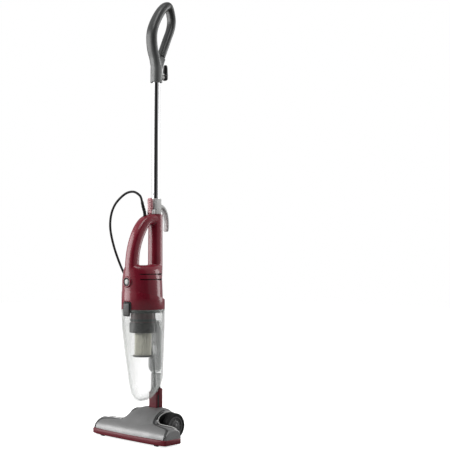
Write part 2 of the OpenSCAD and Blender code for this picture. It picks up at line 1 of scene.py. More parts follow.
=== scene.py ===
"""Upright stick vacuum cleaner: the looks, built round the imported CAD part.

A shape is a pair (points, faces) in millimetres until mesh() turns it into metres.
"""

from math import atan2, cos, hypot, pi, radians, sin

import bmesh
import bpy
from mathutils import Matrix, Vector
from mathutils.bvhtree import BVHTree


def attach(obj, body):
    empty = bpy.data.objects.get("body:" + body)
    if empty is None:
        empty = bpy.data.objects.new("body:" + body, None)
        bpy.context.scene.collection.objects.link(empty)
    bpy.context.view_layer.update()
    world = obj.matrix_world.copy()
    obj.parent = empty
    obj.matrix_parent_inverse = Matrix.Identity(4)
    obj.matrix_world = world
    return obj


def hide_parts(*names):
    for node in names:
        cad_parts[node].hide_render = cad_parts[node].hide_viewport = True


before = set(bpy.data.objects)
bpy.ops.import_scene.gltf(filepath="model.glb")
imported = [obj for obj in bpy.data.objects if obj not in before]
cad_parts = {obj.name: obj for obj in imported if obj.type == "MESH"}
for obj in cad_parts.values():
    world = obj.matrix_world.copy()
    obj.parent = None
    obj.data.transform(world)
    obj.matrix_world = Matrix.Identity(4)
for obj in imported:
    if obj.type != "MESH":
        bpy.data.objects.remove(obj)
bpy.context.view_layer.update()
MM = 0.001
ALONG_X, ALONG_Y, ALONG_Z = (1, 0, 0), (0, 1, 0), (0, 0, 1)
FORWARD = (0, -1, 0)

# ---------- Dimensions, in millimetres, as in the CAD part ----------
HINGE_Y, HINGE_Z = 23.5, 32.0
HINGE = (0, HINGE_Y, HINGE_Z)
WHEEL_R, WHEEL_IN, WHEEL_W = 32.0, 56.0, 16.0
BODY_Y, BODY_R, SEAM_Z = -21.5, 54.0, 320.0
WAND_Y, TUBE_R = 18.5, 9.8
WAND = (0, WAND_Y, 0)
HOUSING_TOP, COLLAR_TOP, GRIP_Z = 557.0, 597.0, 893.0
BUTTON_Z, HOOK_Z = 388, 909.0
BAND_TOP = 17.0
CORD_D = 6.0
COIL_X, COIL_Y = -80.0, 119.0


# ---------- Shape helpers ----------
def spline(points, steps):
    """Points on a smooth curve through the given ones, of any number of dimensions."""
    out = []
    last = len(points) - 1
    for i in range(last):
        near = [points[max(0, min(last, i + d))] for d in (-1, 0, 1, 2)]
        for k in range(steps):
            t = k / steps
            spot = []
            for a, b, c, d in zip(*near):
                square = 2 * a - 5 * b + 4 * c - d
                cube = 3 * b - a - 3 * c + d
                spot.append(0.5 * (2 * b + (c - a) * t + square * t * t + cube * t**3))
            out.append(tuple(spot))
    return out + [tuple(points[-1])]


def oval(angle, rx, ry, e=2.0):
    """A point of a superellipse: e 2 is an ellipse, and more is squarer."""
    c, s = cos(angle), sin(angle)
    return (
        rx * (abs(c) ** (2 / e)) * (1 if c >= 0 else -1),
        ry * (abs(s) ** (2 / e)) * (1 if s >= 0 else -1),
    )


def section(y, z, half_width, half_depth, turn=0.0, e=2.0, sides=64):
    """A ring round a point of the middle plane, turned about X."""
    ring = []
    for k in range(sides):
        x, d = oval(2 * pi * k / sides, half_width, half_depth, e)
        ring.append((x, y + d * cos(turn), z + d * sin(turn)))
    return ring


def along(path, e=2.0, sides=48):
    """A solid along a path in the middle plane: points are (y, z, half width, half thickness)."""
    rings = []
    for i, (y, z, a, b) in enumerate(path):
        y0, z0 = path[max(0, i - 1)][:2]
        y1, z1 = path[min(len(path) - 1, i + 1)][:2]
        rings.append(section(y, z, a, b, atan2(-(y1 - y0), z1 - z0), e, sides))
    return loft(rings)


def loft(rings):
    """A closed solid through rings with the same number of points."""
    n, m = len(rings), len(rings[0])
    faces = [
        (i * m + k, i * m + (k + 1) % m, (i + 1) * m + (k + 1) % m, (i + 1) * m + k)
        for i in range(n - 1)
        for k in range(m)
    ]
    faces += [tuple(range(m - 1, -1, -1)), tuple((n - 1) * m + k for k in range(m))]
    return [p for r in rings for p in r], faces


def tube_wall(outer, inner):
    """A solid between an outer and an inner stack of rings, open at both ends."""
    rings = outer + inner[::-1]
    n, m = len(rings), len(rings[0])
    faces = []
    for i in range(n):
        low, high = i * m, (i + 1) % n * m
        faces += [(low + k, low + (k + 1) % m, high + (k + 1) % m, high + k) for k in range(m)]
    return [p for r in rings for p in r], faces


def cup_wall(outer, inner):
    """A tube wall whose last rings are closed by a floor."""
    points, faces = tube_wall(outer, inner)
    m = len(outer[0])
    split = len(outer) * m
    faces = [f for f in faces if not split - m <= min(f) < split <= max(f)]
    return points, faces + [tuple(range(split - m, split)), tuple(range(split, split + m))]


def revolve(profile, origin, axis, sides=96):
    """A solid of revolution through (distance along the axis, radius) pairs."""
    z = Vector(axis).normalized()
    x = z.orthogonal().normalized()
    y = z.cross(x)
    rim = [x * cos(2 * pi * k / sides) + y * sin(2 * pi * k / sides) for k in range(sides)]
    points, rows = [], []
    for h, r in profile:
        centre = Vector(origin) + z * h
        ring = [tuple(centre + r * way) for way in rim] if r > 0 else [tuple(centre)]
        rows.append(list(range(len(points), len(points) + len(ring))))
        points += ring
    pairs = list(zip(rows, rows[1:]))
    if profile[0][1] > 0 and profile[-1][1] > 0:
        pairs.append((rows[-1], rows[0]))
    faces = []
    for a, b in pairs:
        for k in range(sides):
            j = (k + 1) % sides
            if len(a) > 1 and len(b) > 1:
                faces.append((a[k], b[k], b[j], a[j]))
            elif len(b) > 1:
                faces.append((a[0], b[k], b[j]))
            elif len(a) > 1:
                faces.append((a[k], b[0], a[j]))
    return points, faces


def rod(radius, low, high, origin, axis, sides=64):
    """A cylinder between two distances along an axis."""
    return revolve([(low, 0), (low, radius), (high, radius), (high, 0)], origin, axis, sides)


def upright(profile, z=0, sides=128):
    """A solid of revolution about the body's axis, with its heights measured from z."""
    return revolve(profile, (0, BODY_Y, z), ALONG_Z, sides)


def annulus(r0, r1, z0, z1, sides=128):
    """A round band about the body's axis."""
    return upright([(z0, r0), (z0, r1), (z1, r1), (z1, r0)], 0, sides)


def rounded(points, radius, steps=4):
    """A closed outline in a plane with its corners rounded by arcs of about that radius."""
    out = []
    for i, corner in enumerate(points):
        a, b, c = Vector(points[i - 1]), Vector(corner), Vector(points[(i + 1) % len(points)])
        u, v = a - b, c - b
        r = min(radius, u.length * 0.45, v.length * 0.45)
        p, q = b + u.normalized() * r, b + v.normalized() * r
        for k in range(steps + 1):
            t = k / steps
            out.append(tuple((1 - t) ** 2 * p + 2 * t * (1 - t) * b + t * t * q))
    return out


def rectangle(w, d, cx=0.0, cy=0.0):
    """The corners of a rectangle."""
    x0, x1 = cx - w / 2, cx + w / 2
    y0, y1 = cy - d / 2, cy + d / 2
    return [(x0, y0), (x1, y0), (x1, y1), (x0, y1)]


def box_outline(w, d, cx=0.0, cy=0.0, r=2.0):
    """A rectangle with rounded corners."""
    return rounded(rectangle(w, d, cx, cy), r)


def on_axis(axis, h, u, v):
    """The point h along one axis, and u and v along the other two."""
    return {"x": (h, u, v), "y": (u, h, v), "z": (u, v, h)}[axis]


def slab(outline, axis, low, high, edge=1.0):
    """An outline pushed along an axis ("x", "y" or "z") with softly rounded edges."""
    cx = sum(p[0] for p in outline) / len(outline)
    cy = sum(p[1] for p in outline) / len(outline)
    reach = max(hypot(p[0] - cx, p[1] - cy) for p in outline)
    levels = [(low, edge), (low + edge * 0.3, edge * 0.3), (low + edge, 0)]
    levels += [(high - edge, 0), (high - edge * 0.3, edge * 0.3), (high, edge)]
    rings = []
    for h, inset in levels:
        f = 1 - inset / reach
        rings.append([on_axis(axis, h, cx + (u - cx) * f, cy + (v - cy) * f) for u, v in outline])
    return loft(rings)


def plan_block(w, d, cy, z0, z1, r, edge=0.8):
    """An upright block with rounded corners, centred on x = 0."""
    return slab(box_outline(w, d, 0, cy, r), "z", z0, z1, edge)


def cuboid(low, high):
    """A sharp box between two corners."""
    (x0, y0, z0), (x1, y1, z1) = low, high
    return loft([[(x0, y0, z), (x1, y0, z), (x1, y1, z), (x0, y1, z)] for z in (z0, z1)])


def pipe(path, radii, sides=16):
    """A round tube along points in space, with a radius at each of them."""
    rings = []
    n = None
    for i, p in enumerate(path):
        t = (Vector(path[min(i + 1, len(path) - 1)]) - Vector(path[max(i - 1, 0)])).normalized()
        n = (t.orthogonal() if n is None else n - t * n.dot(t)).normalized()
        b = t.cross(n)
        ring = []
        for k in range(sides):
            a = 2 * pi * k / sides
            ring.append(tuple(Vector(p) + radii[i] * (n * cos(a) + b * sin(a))))
        rings.append(ring)
    return loft(rings)


def turned(centre, degrees, axis):
    """A turn about an axis, then a move to a centre."""
    return Matrix.Translation(centre) @ Matrix.Rotation(radians(degrees), 4, axis)


def moved(shape, matrix):
    """The shape at the place that a matrix gives."""
    return [tuple(matrix @ Vector(p)) for p in shape[0]], shape[1]


def mirrored(shape):
    """The shape on the other side of the middle plane."""
    return [(-x, y, z) for x, y, z in shape[0]], [tuple(reversed(f)) for f in shape[1]]


def joined(*shapes):
    """Several shapes as one."""
    points, faces = [], []
    for p, f in shapes:
        faces += [tuple(i + len(points) for i in face) for face in f]
        points += p
    return points, faces


def both_sides(shape):
    """The shape and its mirror image."""
    return joined(shape, mirrored(shape))


# ---------- Mesh work ----------
def mesh(shape):
    """A mesh in metres from a shape in millimetres; what is a mesh already stays as it is."""
    if isinstance(shape, bpy.types.Mesh):
        return shape
    data = bpy.data.meshes.new("shape")
    data.from_pydata([Vector(p) * MM for p in shape[0]], [], shape[1])
    bm = bmesh.new()
    bm.from_mesh(data)
    bmesh.ops.remove_doubles(bm, verts=bm.verts, dist=1e-7)
    bmesh.ops.recalc_face_normals(bm, faces=bm.faces)
    bm.to_mesh(data)
    bm.free()
    return data


def merged(*parts):
    """Several meshes as one."""
    bm = bmesh.new()
    for part in parts:
        bm.from_mesh(part)
    data = bpy.data.meshes.new("merged")
    bm.to_mesh(data)
    bm.free()
    return data


def scratch(name, data):
    """An object in the scene that holds the data."""
    obj = bpy.data.objects.new(name, data)
    bpy.context.scene.collection.objects.link(obj)
    return obj


def settled(obj):
    """The object's mesh with its modifiers applied; the object goes."""
    bpy.context.view_layer.update()
    graph = bpy.context.evaluated_depsgraph_get()
    data = bpy.data.meshes.new_from_object(obj.evaluated_get(graph))
    bpy.data.objects.remove(obj)
    return data


def fused(shape, voxel, smooth):
    """One smooth skin over overlapping solids, with fillets where they meet."""
    obj = scratch("fused", mesh(shape))
    fuse = obj.modifiers.new("fuse", "REMESH")
    fuse.mode = "VOXEL"
    fuse.voxel_size = voxel * MM
    fuse.adaptivity = 0.0
    soften = obj.modifiers.new("soften", "SMOOTH")
    soften.factor = 0.5
    soften.iterations = smooth
    return settled(obj)


def carved(shape, cutters):
    """The shape with solids cut out of it."""
    obj = scratch("carved", mesh(shape))
    tools = []
    for cutter in cutters:
        tool = scratch("cutter", mesh(cutter))
        cut = obj.modifiers.new("cut", "BOOLEAN")
        cut.operation = "DIFFERENCE"
        cut.solver = "EXACT"
        cut.object = tool
        tools.append(tool)
    out = settled(obj)
    for tool in tools:
        bpy.data.objects.remove(tool)
    return out


def bevelled(data, width, segments):
    """The mesh with its sharp edges rounded."""
    obj = scratch("bevel", data)
    edge = obj.modifiers.new("edge", "BEVEL")
    edge.width = width * MM
    edge.segments = segments
    edge.limit_method = "ANGLE"
    edge.angle_limit = radians(40)
    return settled(obj)


def sharpen(data, angle):
    """Smooth shading with the creases over that angle kept sharp."""
    bm = bmesh.new()
    bm.from_mesh(data)
    for face in bm.faces:
        face.smooth = True
    for edge in bm.edges:
        edge.smooth = not (len(edge.link_faces) == 2 and edge.calc_face_angle(0) > radians(angle))
    bm.to_mesh(data)
    bm.free()


def piece(name, shape, body, material, stands_for=(), angle=38):
    """A finished piece that rides on its body, and stands for the CAD nodes named."""
    data = mesh(shape)
    sharpen(data, angle)
    data.name = name
    data.materials.clear()
    data.materials.append(material)
    obj = scratch(name, data)
    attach(obj, body)
    if stands_for:
        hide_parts(*stands_for)
    return obj


# ---------- Materials ----------
def add_node(tree, kind, inputs, **settings):
    """A shader node whose inputs take constants, or are linked to sockets."""
    made = tree.nodes.new("ShaderNode" + kind)
    for name, value in settings.items():
        setattr(made, name, value)
    for name, value in inputs.items():
        if isinstance(value, bpy.types.NodeSocket):
            tree.links.new(value, made.inputs[name])
        else:
            made.inputs[name].default_value = value
    return made


def noise(tree, place, scale, detail):
    """The grey value of a noise texture."""
    made = add_node(tree, "TexNoise", {"Scale": scale, "Detail": detail, "Vector": place})
    return made.outputs["Fac"]


def drifting(tree, place, colour, vary, scale):
    """The colour, a little darker and lighter in soft patches."""
    tone = add_node(tree, "ValToRGB", {"Fac": noise(tree, place, scale, 5)})
    dark, light = tone.color_ramp.elements
    dark.position, light.position = 0.3, 0.7
    dark.color = (*[c * (1 - vary) for c in colour], 1)
    light.color = (*[min(1, c * (1 + vary)) for c in colour], 1)
    return tone.outputs["Color"]


def scaled(tree, shade, factor):
    """A colour times a factor."""
    return add_node(tree, "VectorMath", {0: shade, "Scale": factor}, operation="SCALE").outputs[0]


def flaked(tree, place, shade, flake):
    """The colour with fine metal flakes."""
    cells = add_node(tree, "TexVoronoi", {"Scale": 2600, "Vector": place})
    grey = add_node(tree, "SeparateColor", {0: cells.outputs["Color"]})
    glint = add_node(tree, "MapRange", {"Value": grey.outputs[0], "To Min": 1 - flake, "To Max": 1 + flake})
    return scaled(tree, shade, glint.outputs[0])


def worn(tree, shade, colour, wear):
    """The colour, paler on its outer edges."""
    edge = add_node(tree, "NewGeometry", {}).outputs["Pointiness"]
    rim = add_node(tree, "MapRange", {"Value": edge, "From Min": 0.53, "From Max": 0.62, "To Max": wear})
    pale = (*[min(1, c * 1.6 + 0.06) for c in colour], 1)
    scuff = add_node(tree, "Mix", {"Factor": rim.outputs[0], "A": shade, "B": pale}, data_type="RGBA")
    return scuff.outputs["Result"]


def plastic(
    name, colour, rough=0.4, metallic=0.0, coat=0.0, vary=0.06, vary_scale=18.0, bump=0.05,
    grain=900.0, wear=0.15, flake=0.0, spec=0.5, sheen=0.0,
):
    """A moulded or lacquered surface: colour drift, fine grain, smudges and paler worn edges."""
    mat = bpy.data.materials.new(name)
    mat.use_nodes = True
    tree = mat.node_tree
    tree.nodes.clear()
    place = add_node(tree, "TexCoord", {}).outputs["Object"]
    shade = drifting(tree, place, colour, vary, vary_scale)
    if flake:
        shade = flaked(tree, place, shade, flake)
    if wear:
        shade = worn(tree, shade, colour, wear)
    smudge = {"Value": noise(tree, place, 30, 6), "From Min": 0.35, "From Max": 0.7}
    smudge.update({"To Min": rough * 0.88, "To Max": min(1, rough * 1.18)})
    relief = {"Strength": bump, "Distance": 0.0004, "Height": noise(tree, place, grain, 3)}
    skin = add_node(tree, "BsdfPrincipled", {
        "Base Color": shade,
        "Roughness": add_node(tree, "MapRange", smudge).outputs[0],
        "Normal": add_node(tree, "Bump", relief).outputs[0],
        "Metallic": metallic,
        "Coat Weight": coat,
        "Coat Roughness": 0.08,
        "Specular IOR Level": spec,
        "Sheen Weight": sheen,
    })
    add_node(tree, "OutputMaterial", {"Surface": skin.outputs[0]})
    return mat


def principled(tree):
    """The material's main shader."""
    return next(n for n in tree.nodes if n.type == "BSDF_PRINCIPLED")


def painted_light_by_height(material, low, high, z0, z1):
    """Paints light and shade by height: scales the material's colour from low at height z0 to high at z1, in
    metres.
    """
    tree = material.node_tree
    ramp = next(n for n in tree.nodes if n.type == "VALTORGB")
    sinks = [link.to_socket for link in tree.links if link.from_node == ramp]
    place = add_node(tree, "TexCoord", {}).outputs["Object"]
    height = add_node(tree, "SeparateXYZ", {0: place}).outputs["Z"]
    rise = {"Value": height, "From Min": z0, "From Max": z1, "To Min": low, "To Max": high}
    factor = add_node(tree, "MapRange", rise, interpolation_type="SMOOTHSTEP").outputs[0]
    shade = scaled(tree, ramp.outputs["Color"], factor)
    for sink in sinks:
        tree.links.new(shade, sink)


def clear_plastic(name, colour, least, most, rough=0.08):
    """See-through plastic, faint seen head on and milky towards its outline."""
    mat = plastic(name, colour, rough=rough, bump=0.03, grain=500, wear=0.0, vary=0.03)
    tree = mat.node_tree
    facing = add_node(tree, "LayerWeight", {"Blend": 0.35}).outputs["Facing"]
    haze = add_node(tree, "MapRange", {"Value": facing, "To Min": least, "To Max": most})
    tree.links.new(haze.outputs[0], principled(tree).inputs["Alpha"])
    return mat


DARK_GREY, NEAR_BLACK = (0.05, 0.052, 0.051), (0.008, 0.008, 0.008)

# Lacquered and moulded plastics
BURGUNDY = plastic(
    "burgundy_pearl", (0.19, 0.008, 0.022), rough=0.3, coat=0.3, spec=0.35, flake=0.12, bump=0.02, wear=0.1
)
DARK_RED = plastic("dark_red", (0.13, 0.006, 0.015), rough=0.4, spec=0.3, bump=0.05, wear=0.15)
MOTOR_RED = plastic("motor_red", (0.05, 0.004, 0.008), rough=0.35, spec=0.3, bump=0.05, wear=0.1)
LEVER_RED = plastic("lever_red", (0.5, 0.2, 0.22), rough=0.4, bump=0.05, wear=0.3)
METALLIC = plastic(
    "metallic_grey", (0.21, 0.21, 0.21), rough=0.42, metallic=0.5, coat=0.05, flake=0.15, bump=0.03, wear=0.12
)
# Pale metallic grey for the stator, fan and hook pivot; the arch rims and the hook band use it as painted
# highlights
PALE_METAL_AND_HIGHLIGHT = plastic("pale_metal_and_highlight", (0.33, 0.33, 0.32), rough=0.45, metallic=0.3, flake=0.1, bump=0.03)
CHARCOAL = plastic("charcoal", DARK_GREY, rough=0.36, bump=0.12, grain=700, wear=0.2)
SOCKET_GREY = plastic("socket_grey", DARK_GREY, rough=0.36, bump=0.12, grain=700, wear=0.2)
# Painted light: the grip is painted lighter towards its foot and darker towards its top, for how the studio
# light falls on it
for grip_finish in (CHARCOAL, SOCKET_GREY):
    painted_light_by_height(grip_finish, 1.9, 0.7, 0.925, 1.01)
GREY = plastic("grey_plastic", (0.5, 0.5, 0.49), rough=0.42, bump=0.08, grain=700, wear=0.2)
# Near black for the strip that paints the shade in the head's parting groove
GROOVE_SHADE = plastic("groove_shade_grey", (0.035, 0.036, 0.036), rough=0.4, metallic=0.2, bump=0.06, wear=0.1)
BLACK = plastic("black_plastic", NEAR_BLACK, rough=0.45, spec=0.25, bump=0.12, grain=700, wear=0.12)
BLACK_GLOSS = plastic("black_gloss", NEAR_BLACK, rough=0.25, spec=0.3, bump=0.02, wear=0.05)
LATCH_GREY = plastic("latch_grey", (0.045, 0.045, 0.045), rough=0.4, spec=0.35, bump=0.1, grain=700, wear=0.2)
HUB = plastic("hub_grey", (0.07, 0.07, 0.07), rough=0.42, bump=0.08, wear=0.2)
CLEAR = clear_plastic("clear_cup", (0.6, 0.62, 0.6), 0.09, 0.55)
SMOKE = clear_plastic("clear_duct", (0.16, 0.172, 0.168), 0.3, 0.7, rough=0.2)

# Rubber, metals and cloth
TYRE = plastic("tyre_rubber", (0.01, 0.01, 0.01), rough=0.65, spec=0.2, bump=0.25, grain=500, wear=0.1)
RUBBER = plastic("rubber", (0.009, 0.009, 0.009), rough=0.6, spec=0.25, bump=0.15, grain=500, wear=0.08)
SHEATH = plastic("cord_sheath", (0.012, 0.012, 0.012), rough=0.5, spec=0.3, bump=0.06, wear=0.0)
CHROME = plastic("chrome", (0.75, 0.75, 0.76), rough=0.06, metallic=1.0, bump=0.01, vary=0.02, wear=0.0)
STEEL = plastic("steel", (0.5, 0.5, 0.5), rough=0.3, metallic=1.0, bump=0.06, wear=0.1)
COPPER = plastic("copper", (0.5, 0.2, 0.09), rough=0.35, metallic=1.0, bump=0.08, wear=0.1)
FELT = plastic(
    "filter_felt", (0.86, 0.85, 0.74), rough=0.9, bump=0.5, vary=0.1, vary_scale=60, wear=0.25, sheen=0.3
)
PILE = plastic(
    "lint_pile", (0.14, 0.012, 0.02), rough=0.95, bump=0.6, grain=1500, vary=0.2, vary_scale=200, wear=0.0,
    sheen=0.4,
)

# ---------- Camera ----------
CAMERA_AT = (1741.9, -1611.1, 448.1)
CAMERA_YAW, CAMERA_PITCH, CAMERA_ROLL = radians(132.673), radians(2.0), radians(-0.21)


def build_camera():
    camera = scratch("camera", bpy.data.cameras.new("camera"))
    camera.data.lens = 75.2
    camera.data.sensor_width = 36
    camera.location = Vector(CAMERA_AT) * MM
    level = cos(CAMERA_PITCH)
    look = Vector((level * cos(CAMERA_YAW), level * sin(CAMERA_YAW), sin(CAMERA_PITCH)))
    aim = look.to_track_quat("-Z", "Y").to_matrix() @ Matrix.Rotation(-CAMERA_ROLL, 3, "Z")
    camera.rotation_mode = "QUATERNION"
    camera.rotation_quaternion = aim.to_quaternion()
    bpy.context.scene.camera = camera


build_camera()

# ---------- Mains cord ----------
RELIEF_FOOT = (0, -18, HOUSING_TOP - 2)
RELIEF_TOP = (-2, -26, 588)
CORD_ROUTE = [
    RELIEF_TOP, (-5, -28, 600), (-12, -32, 608), (-24, -36, 613), (-40, -41, 611), (-58, -45, 601),
    (-78, -49, 582), (-94, -48, 556), (-106, -40, 521), (-112, -22, 475), (-110, 0, 425), (-100, 22, 375),
    (-86, 40, 320), (-70, 54, 260), (-57, 62, 200), (-50, 66, 140), (-49, 66, 80), (-49, 66, 30),
    (-48, 69, 16), (-45, 79, 6.5), (-40, 92, 3.3),
]
TAIL_ROUTE = [(-127, 101, 21.1), (-127, 92, 18), (-125.5, 82, 12), (-124, 74, 9), (-123.5, 68, 8.5)]
PLUG_X, PLUG_Y, PLUG_Z = -123.5, 50, 8.5
COIL_RADII = [47, 41, 35, 29, 23]
COIL_LAYERS = [3.1, 9.1, 15.1, 21.1]
COIL_TURNS = 19.5


def coil_points(first, last):
    """The coil from the outside of its lowest layer to the outside of its highest."""
    rows = []
    for layer, z in enumerate(COIL_LAYERS):
        rows += [(r, z) for r in (COIL_RADII if layer % 2 == 0 else COIL_RADII[::-1])]
    steps = int(COIL_TURNS * 24)
    out = []
    for i in range(steps + 1):
        t = i / steps
        spot = t * (len(rows) - 1)
        k = min(int(spot), len(rows) - 2)
        f = max(0.0, (spot - k - 0.75) / 0.25)
        f = f * f * (3 - 2 * f)
        r, z = (a + (b - a) * f for a, b in zip(rows[k], rows[k + 1]))
        angle = first + (last - first) * t
        out.append((COIL_X + r * cos(angle), COIL_Y + r * sin(angle), z))
    return out


def cord_path():
    """The whole cord: the free stretch, the coil and the tail that ends in the plug."""
    start = atan2(CORD_ROUTE[-1][1] - COIL_Y, CORD_ROUTE[-1][0] - COIL_X) + 0.25
    leave = atan2(TAIL_ROUTE[0][1] - COIL_Y, TAIL_ROUTE[0][0] - COIL_X) - 0.1
    whole_turns = round((start - leave) / (2 * pi) + COIL_TURNS)
    coil = coil_points(start, leave + 2 * pi * whole_turns)
    return spline(CORD_ROUTE + [coil[0]], 5)[:-1] + coil + spline([coil[-1]] + TAIL_ROUTE, 4)[1:]


def build_line(name, points, radius, material):
    """A round cord along points, as a curve of one open spline."""
    data = bpy.data.curves.new(name, "CURVE")
    data.dimensions = "3D"
    data.bevel_depth = radius * MM
    data.bevel_resolution = 4
    data.use_fill_caps = True
    line = data.splines.new("POLY")
    line.points.add(len(points) - 1)
    for spot, p in zip(line.points, points):
        spot.co = (*[c * MM for c in p], 1)
    data.materials.append(material)
    return scratch(name, data)


def build_plug():
    """The plug's body with a ringed neck and side pads, and two pins that start inside it."""
    profile = [(-3, 0), (-3, 3.2), (2, 4.6), (6, 5.2)]
    for k in range(4):
        low, wide = 8 + 3.4 * k, 5.4 + 0.3 * k
        if k:
            profile.append((low - 0.2, 4.7))
        profile += [(low, wide), (low + 1.6, wide), (low + 1.8, 4.7)]
    profile += [(21, 6.8), (22, 0)]
    neck = revolve(profile, (PLUG_X, PLUG_Y + 20, PLUG_Z), FORWARD, 48)
    block = slab(box_outline(25.6, 16.2, PLUG_X, PLUG_Z + 0.15, 5), "y", PLUG_Y - 9.8, PLUG_Y + 9, 2.5)
    pin_profile = [(0, 2.3), (18.6, 2.3), (20.6, 1.4), (21, 0)]
    pads, pins = [], []
    for s in (-1, 1):
        pads.append(slab(box_outline(9, 10, PLUG_X + s * 8.4, PLUG_Y, 3), "z", 4.5, 12.8, 1.5))
        pins.append(revolve(pin_profile, (PLUG_X + s * 6.5, PLUG_Y - 8, PLUG_Z), FORWARD, 32))
    whole = joined(block, neck, *pads)
    body = piece("Plug_Body", whole, "motor_unit", SHEATH, ["plug_body"], 30)
    return body, piece("Plug_Pins", joined(*pins), "motor_unit", STEEL, ["plug_pins"])


def build_coil_tie():
    """A flat band round one side of the coil."""
    across = COIL_Y + 35
    outer = rounded(rectangle(33, 24.8, across, 13), 4)
    inner = rounded(rectangle(31, 23.1, across, 12.95), 3.4)
    ends = (COIL_X - 4, COIL_X + 4)
    rings = [[[(x, y, z) for y, z in outline] for x in ends] for outline in (outer, inner)]
    band = tube_wall(rings[0], rings[1])
    return piece("Coil_Tie", band, "motor_unit", GREY, ["coil_tie"])


def build_strain_relief():
    """A tapered sleeve with rings on its upper part."""
    foot, top = Vector(RELIEF_FOOT), Vector(RELIEF_TOP)
    way = spline([foot - Vector((0, 0, 6)), foot + Vector((0, -0.8, 6)), top.lerp(foot, 0.4), top], 8)
    radii = []
    for i in range(len(way)):
        t = i / (len(way) - 1)
        radii.append(4.2 - 0.8 * t + (0.45 if i % 4 < 2 and t > 0.35 else 0.0))
    sleeve = pipe(way, radii, 32)
    return piece("Strain_Relief", sleeve, "motor_unit", RUBBER, ["strain_relief"], 30)


def build_cord():
    cord = build_line("Mains_Cord", cord_path(), CORD_D / 2, SHEATH)
    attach(cord, "motor_unit")
    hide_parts("cord", "cord_coil", "cord_tail")
    body, pins = build_plug()
    tie = build_coil_tie()
    relief = build_strain_relief()


build_cord()

# ---------- Floor head ----------
HEAD_HALF_W = 133.0
BAR_FRONT, BAR_BACK, RIDGE_Z = -77.0, -17.0, 43.0
SKIN_FLOOR = BAND_TOP - 6
# Slices of the bar from an end inwards: (share of the half width, bow of the front, share of the height)
BAR_END = [(1, 9, 0.9), (0.985, 7.6, 0.97), (0.6, 2, 1)]
# Slices of the hump from front to back: (y, half width, top)
HUMP_SLICES = [
    (-60, 84, 39), (-50, 76, 45), (-40, 67, 52), (-30, 60, 58.5), (-20, 55, 64), (-8, 50.5, 69),
    (6, 48.5, 72), (20, 48.5, 73), (36, 48.5, 70.5), (47, 47, 62), (53, 45.5, 49), (55.5, 44, 36),
]
# The parting line: up over each front corner, back along the bar and up the side of the hump
PARTING_LINE = [
    (128, -84, 12), (127.5, -76, 24), (126, -66, 34), (122, -57, 41), (113, -51, 43), (100, -48, 44),
    (86, -45, 45), (72, -41, 47), (61, -34, 52), (54, -23, 60), (50, -9, 68), (46, 4, 72), (43, 16, 75),
]
# The edge of the wheel arch, from behind the wheel over it and out along the back of the bar
ARCH_EDGE = [
    (50.2, 50, 48), (50.4, 43, 57.5), (50.5, 34, 63), (50.6, 20, 65.8), (50.6, 7, 64.8), (51, -6, 61),
    (53, -16, 55), (58, -22.5, 48), (67, -25, 43.4), (82, -24.5, 42.2), (100, -24, 41.8), (116, -24, 40.3),
    (125, -25, 38),
]
# The black plastic wall beside each wheel, seen from the side; it also paints the deep shade inside the arch
ARCH_SHADE_WALL = [
    (-27, 18), (-27, 46), (-20, 53), (-10, 59.5), (0, 63.5), (12, 65.5), (26, 65), (38, 61), (47, 52),
    (52, 40), (53, 18),
]


def bar_outline(front, ridge):
    """The bar from the side: up its back, over the ridge and down its nose."""
    back, floor = BAR_BACK, SKIN_FLOOR
    profile = [
        (back, floor), (back - 0.6, ridge * 0.55), (back - 4, ridge * 0.8), (back - 13, ridge * 0.965),
        (min(front + 36, back - 18), ridge), (front + 25, ridge * 0.97), (front + 16, ridge * 0.885),
        (front + 8, ridge * 0.74), (front + 3, ridge * 0.58), (front + 1, floor + 4), (front + 1, floor),
    ]
    return spline(profile, 4)


def bar_solid():
    """The wide bar of the head, the same at both ends."""
    slices = [(-share, bow, height) for share, bow, height in BAR_END] + [(0, 0, 1)] + BAR_END[::-1]
    rings = []
    for share, bow, height in slices:
        x = share * (HEAD_HALF_W - 1)
        rings.append([(x, y, z) for y, z in bar_outline(BAR_FRONT + bow, RIDGE_Z * height)])
    return loft(rings)


def hump_solid():
    """Half ovals from front to back, squarer beside the wheels."""
    rings = []
    for y, half, top in spline(HUMP_SLICES, 3):
        e = 5.5 if y > 0 else 2.3 + 3.2 * max(0.0, (y + 60) / 60)
        half_oval = [oval(pi * k / 48, half, top - SKIN_FLOOR, e) for k in range(49)]
        rings.append([(x, y, SKIN_FLOOR + h) for x, h in half_oval])
    return loft(rings)


def band_plan(inset):
    """Plan of the band: the bowed front, the square back and rounded corners."""
    half, back = HEAD_HALF_W + 0.2 - inset, BAR_BACK - inset
    front = []
    for k in range(25):
        x = -half + 2 * half * k / 24
        u = abs(x) / half
        front.append((x, BAR_FRONT - 1 + inset + 2.8 * u**2 + 5.2 * u**10))
    return rounded(front + [(half, back), (-half, back)], 4, 3)


def surface(data):
    """The mesh as a tree that finds its nearest point."""
    bm = bmesh.new()
    bm.from_mesh(data)
    tree = BVHTree.FromBMesh(bm)
    bm.free()
    return tree


def snapped(tree, points, offset=0.0):
    """The points moved to the nearest place on a surface, then outwards."""
    out = []
    for p in points:
        spot, normal, _, _ = tree.find_nearest(Vector(p) * MM)
        out.append(tuple((spot + normal * offset * MM) / MM))
    return out


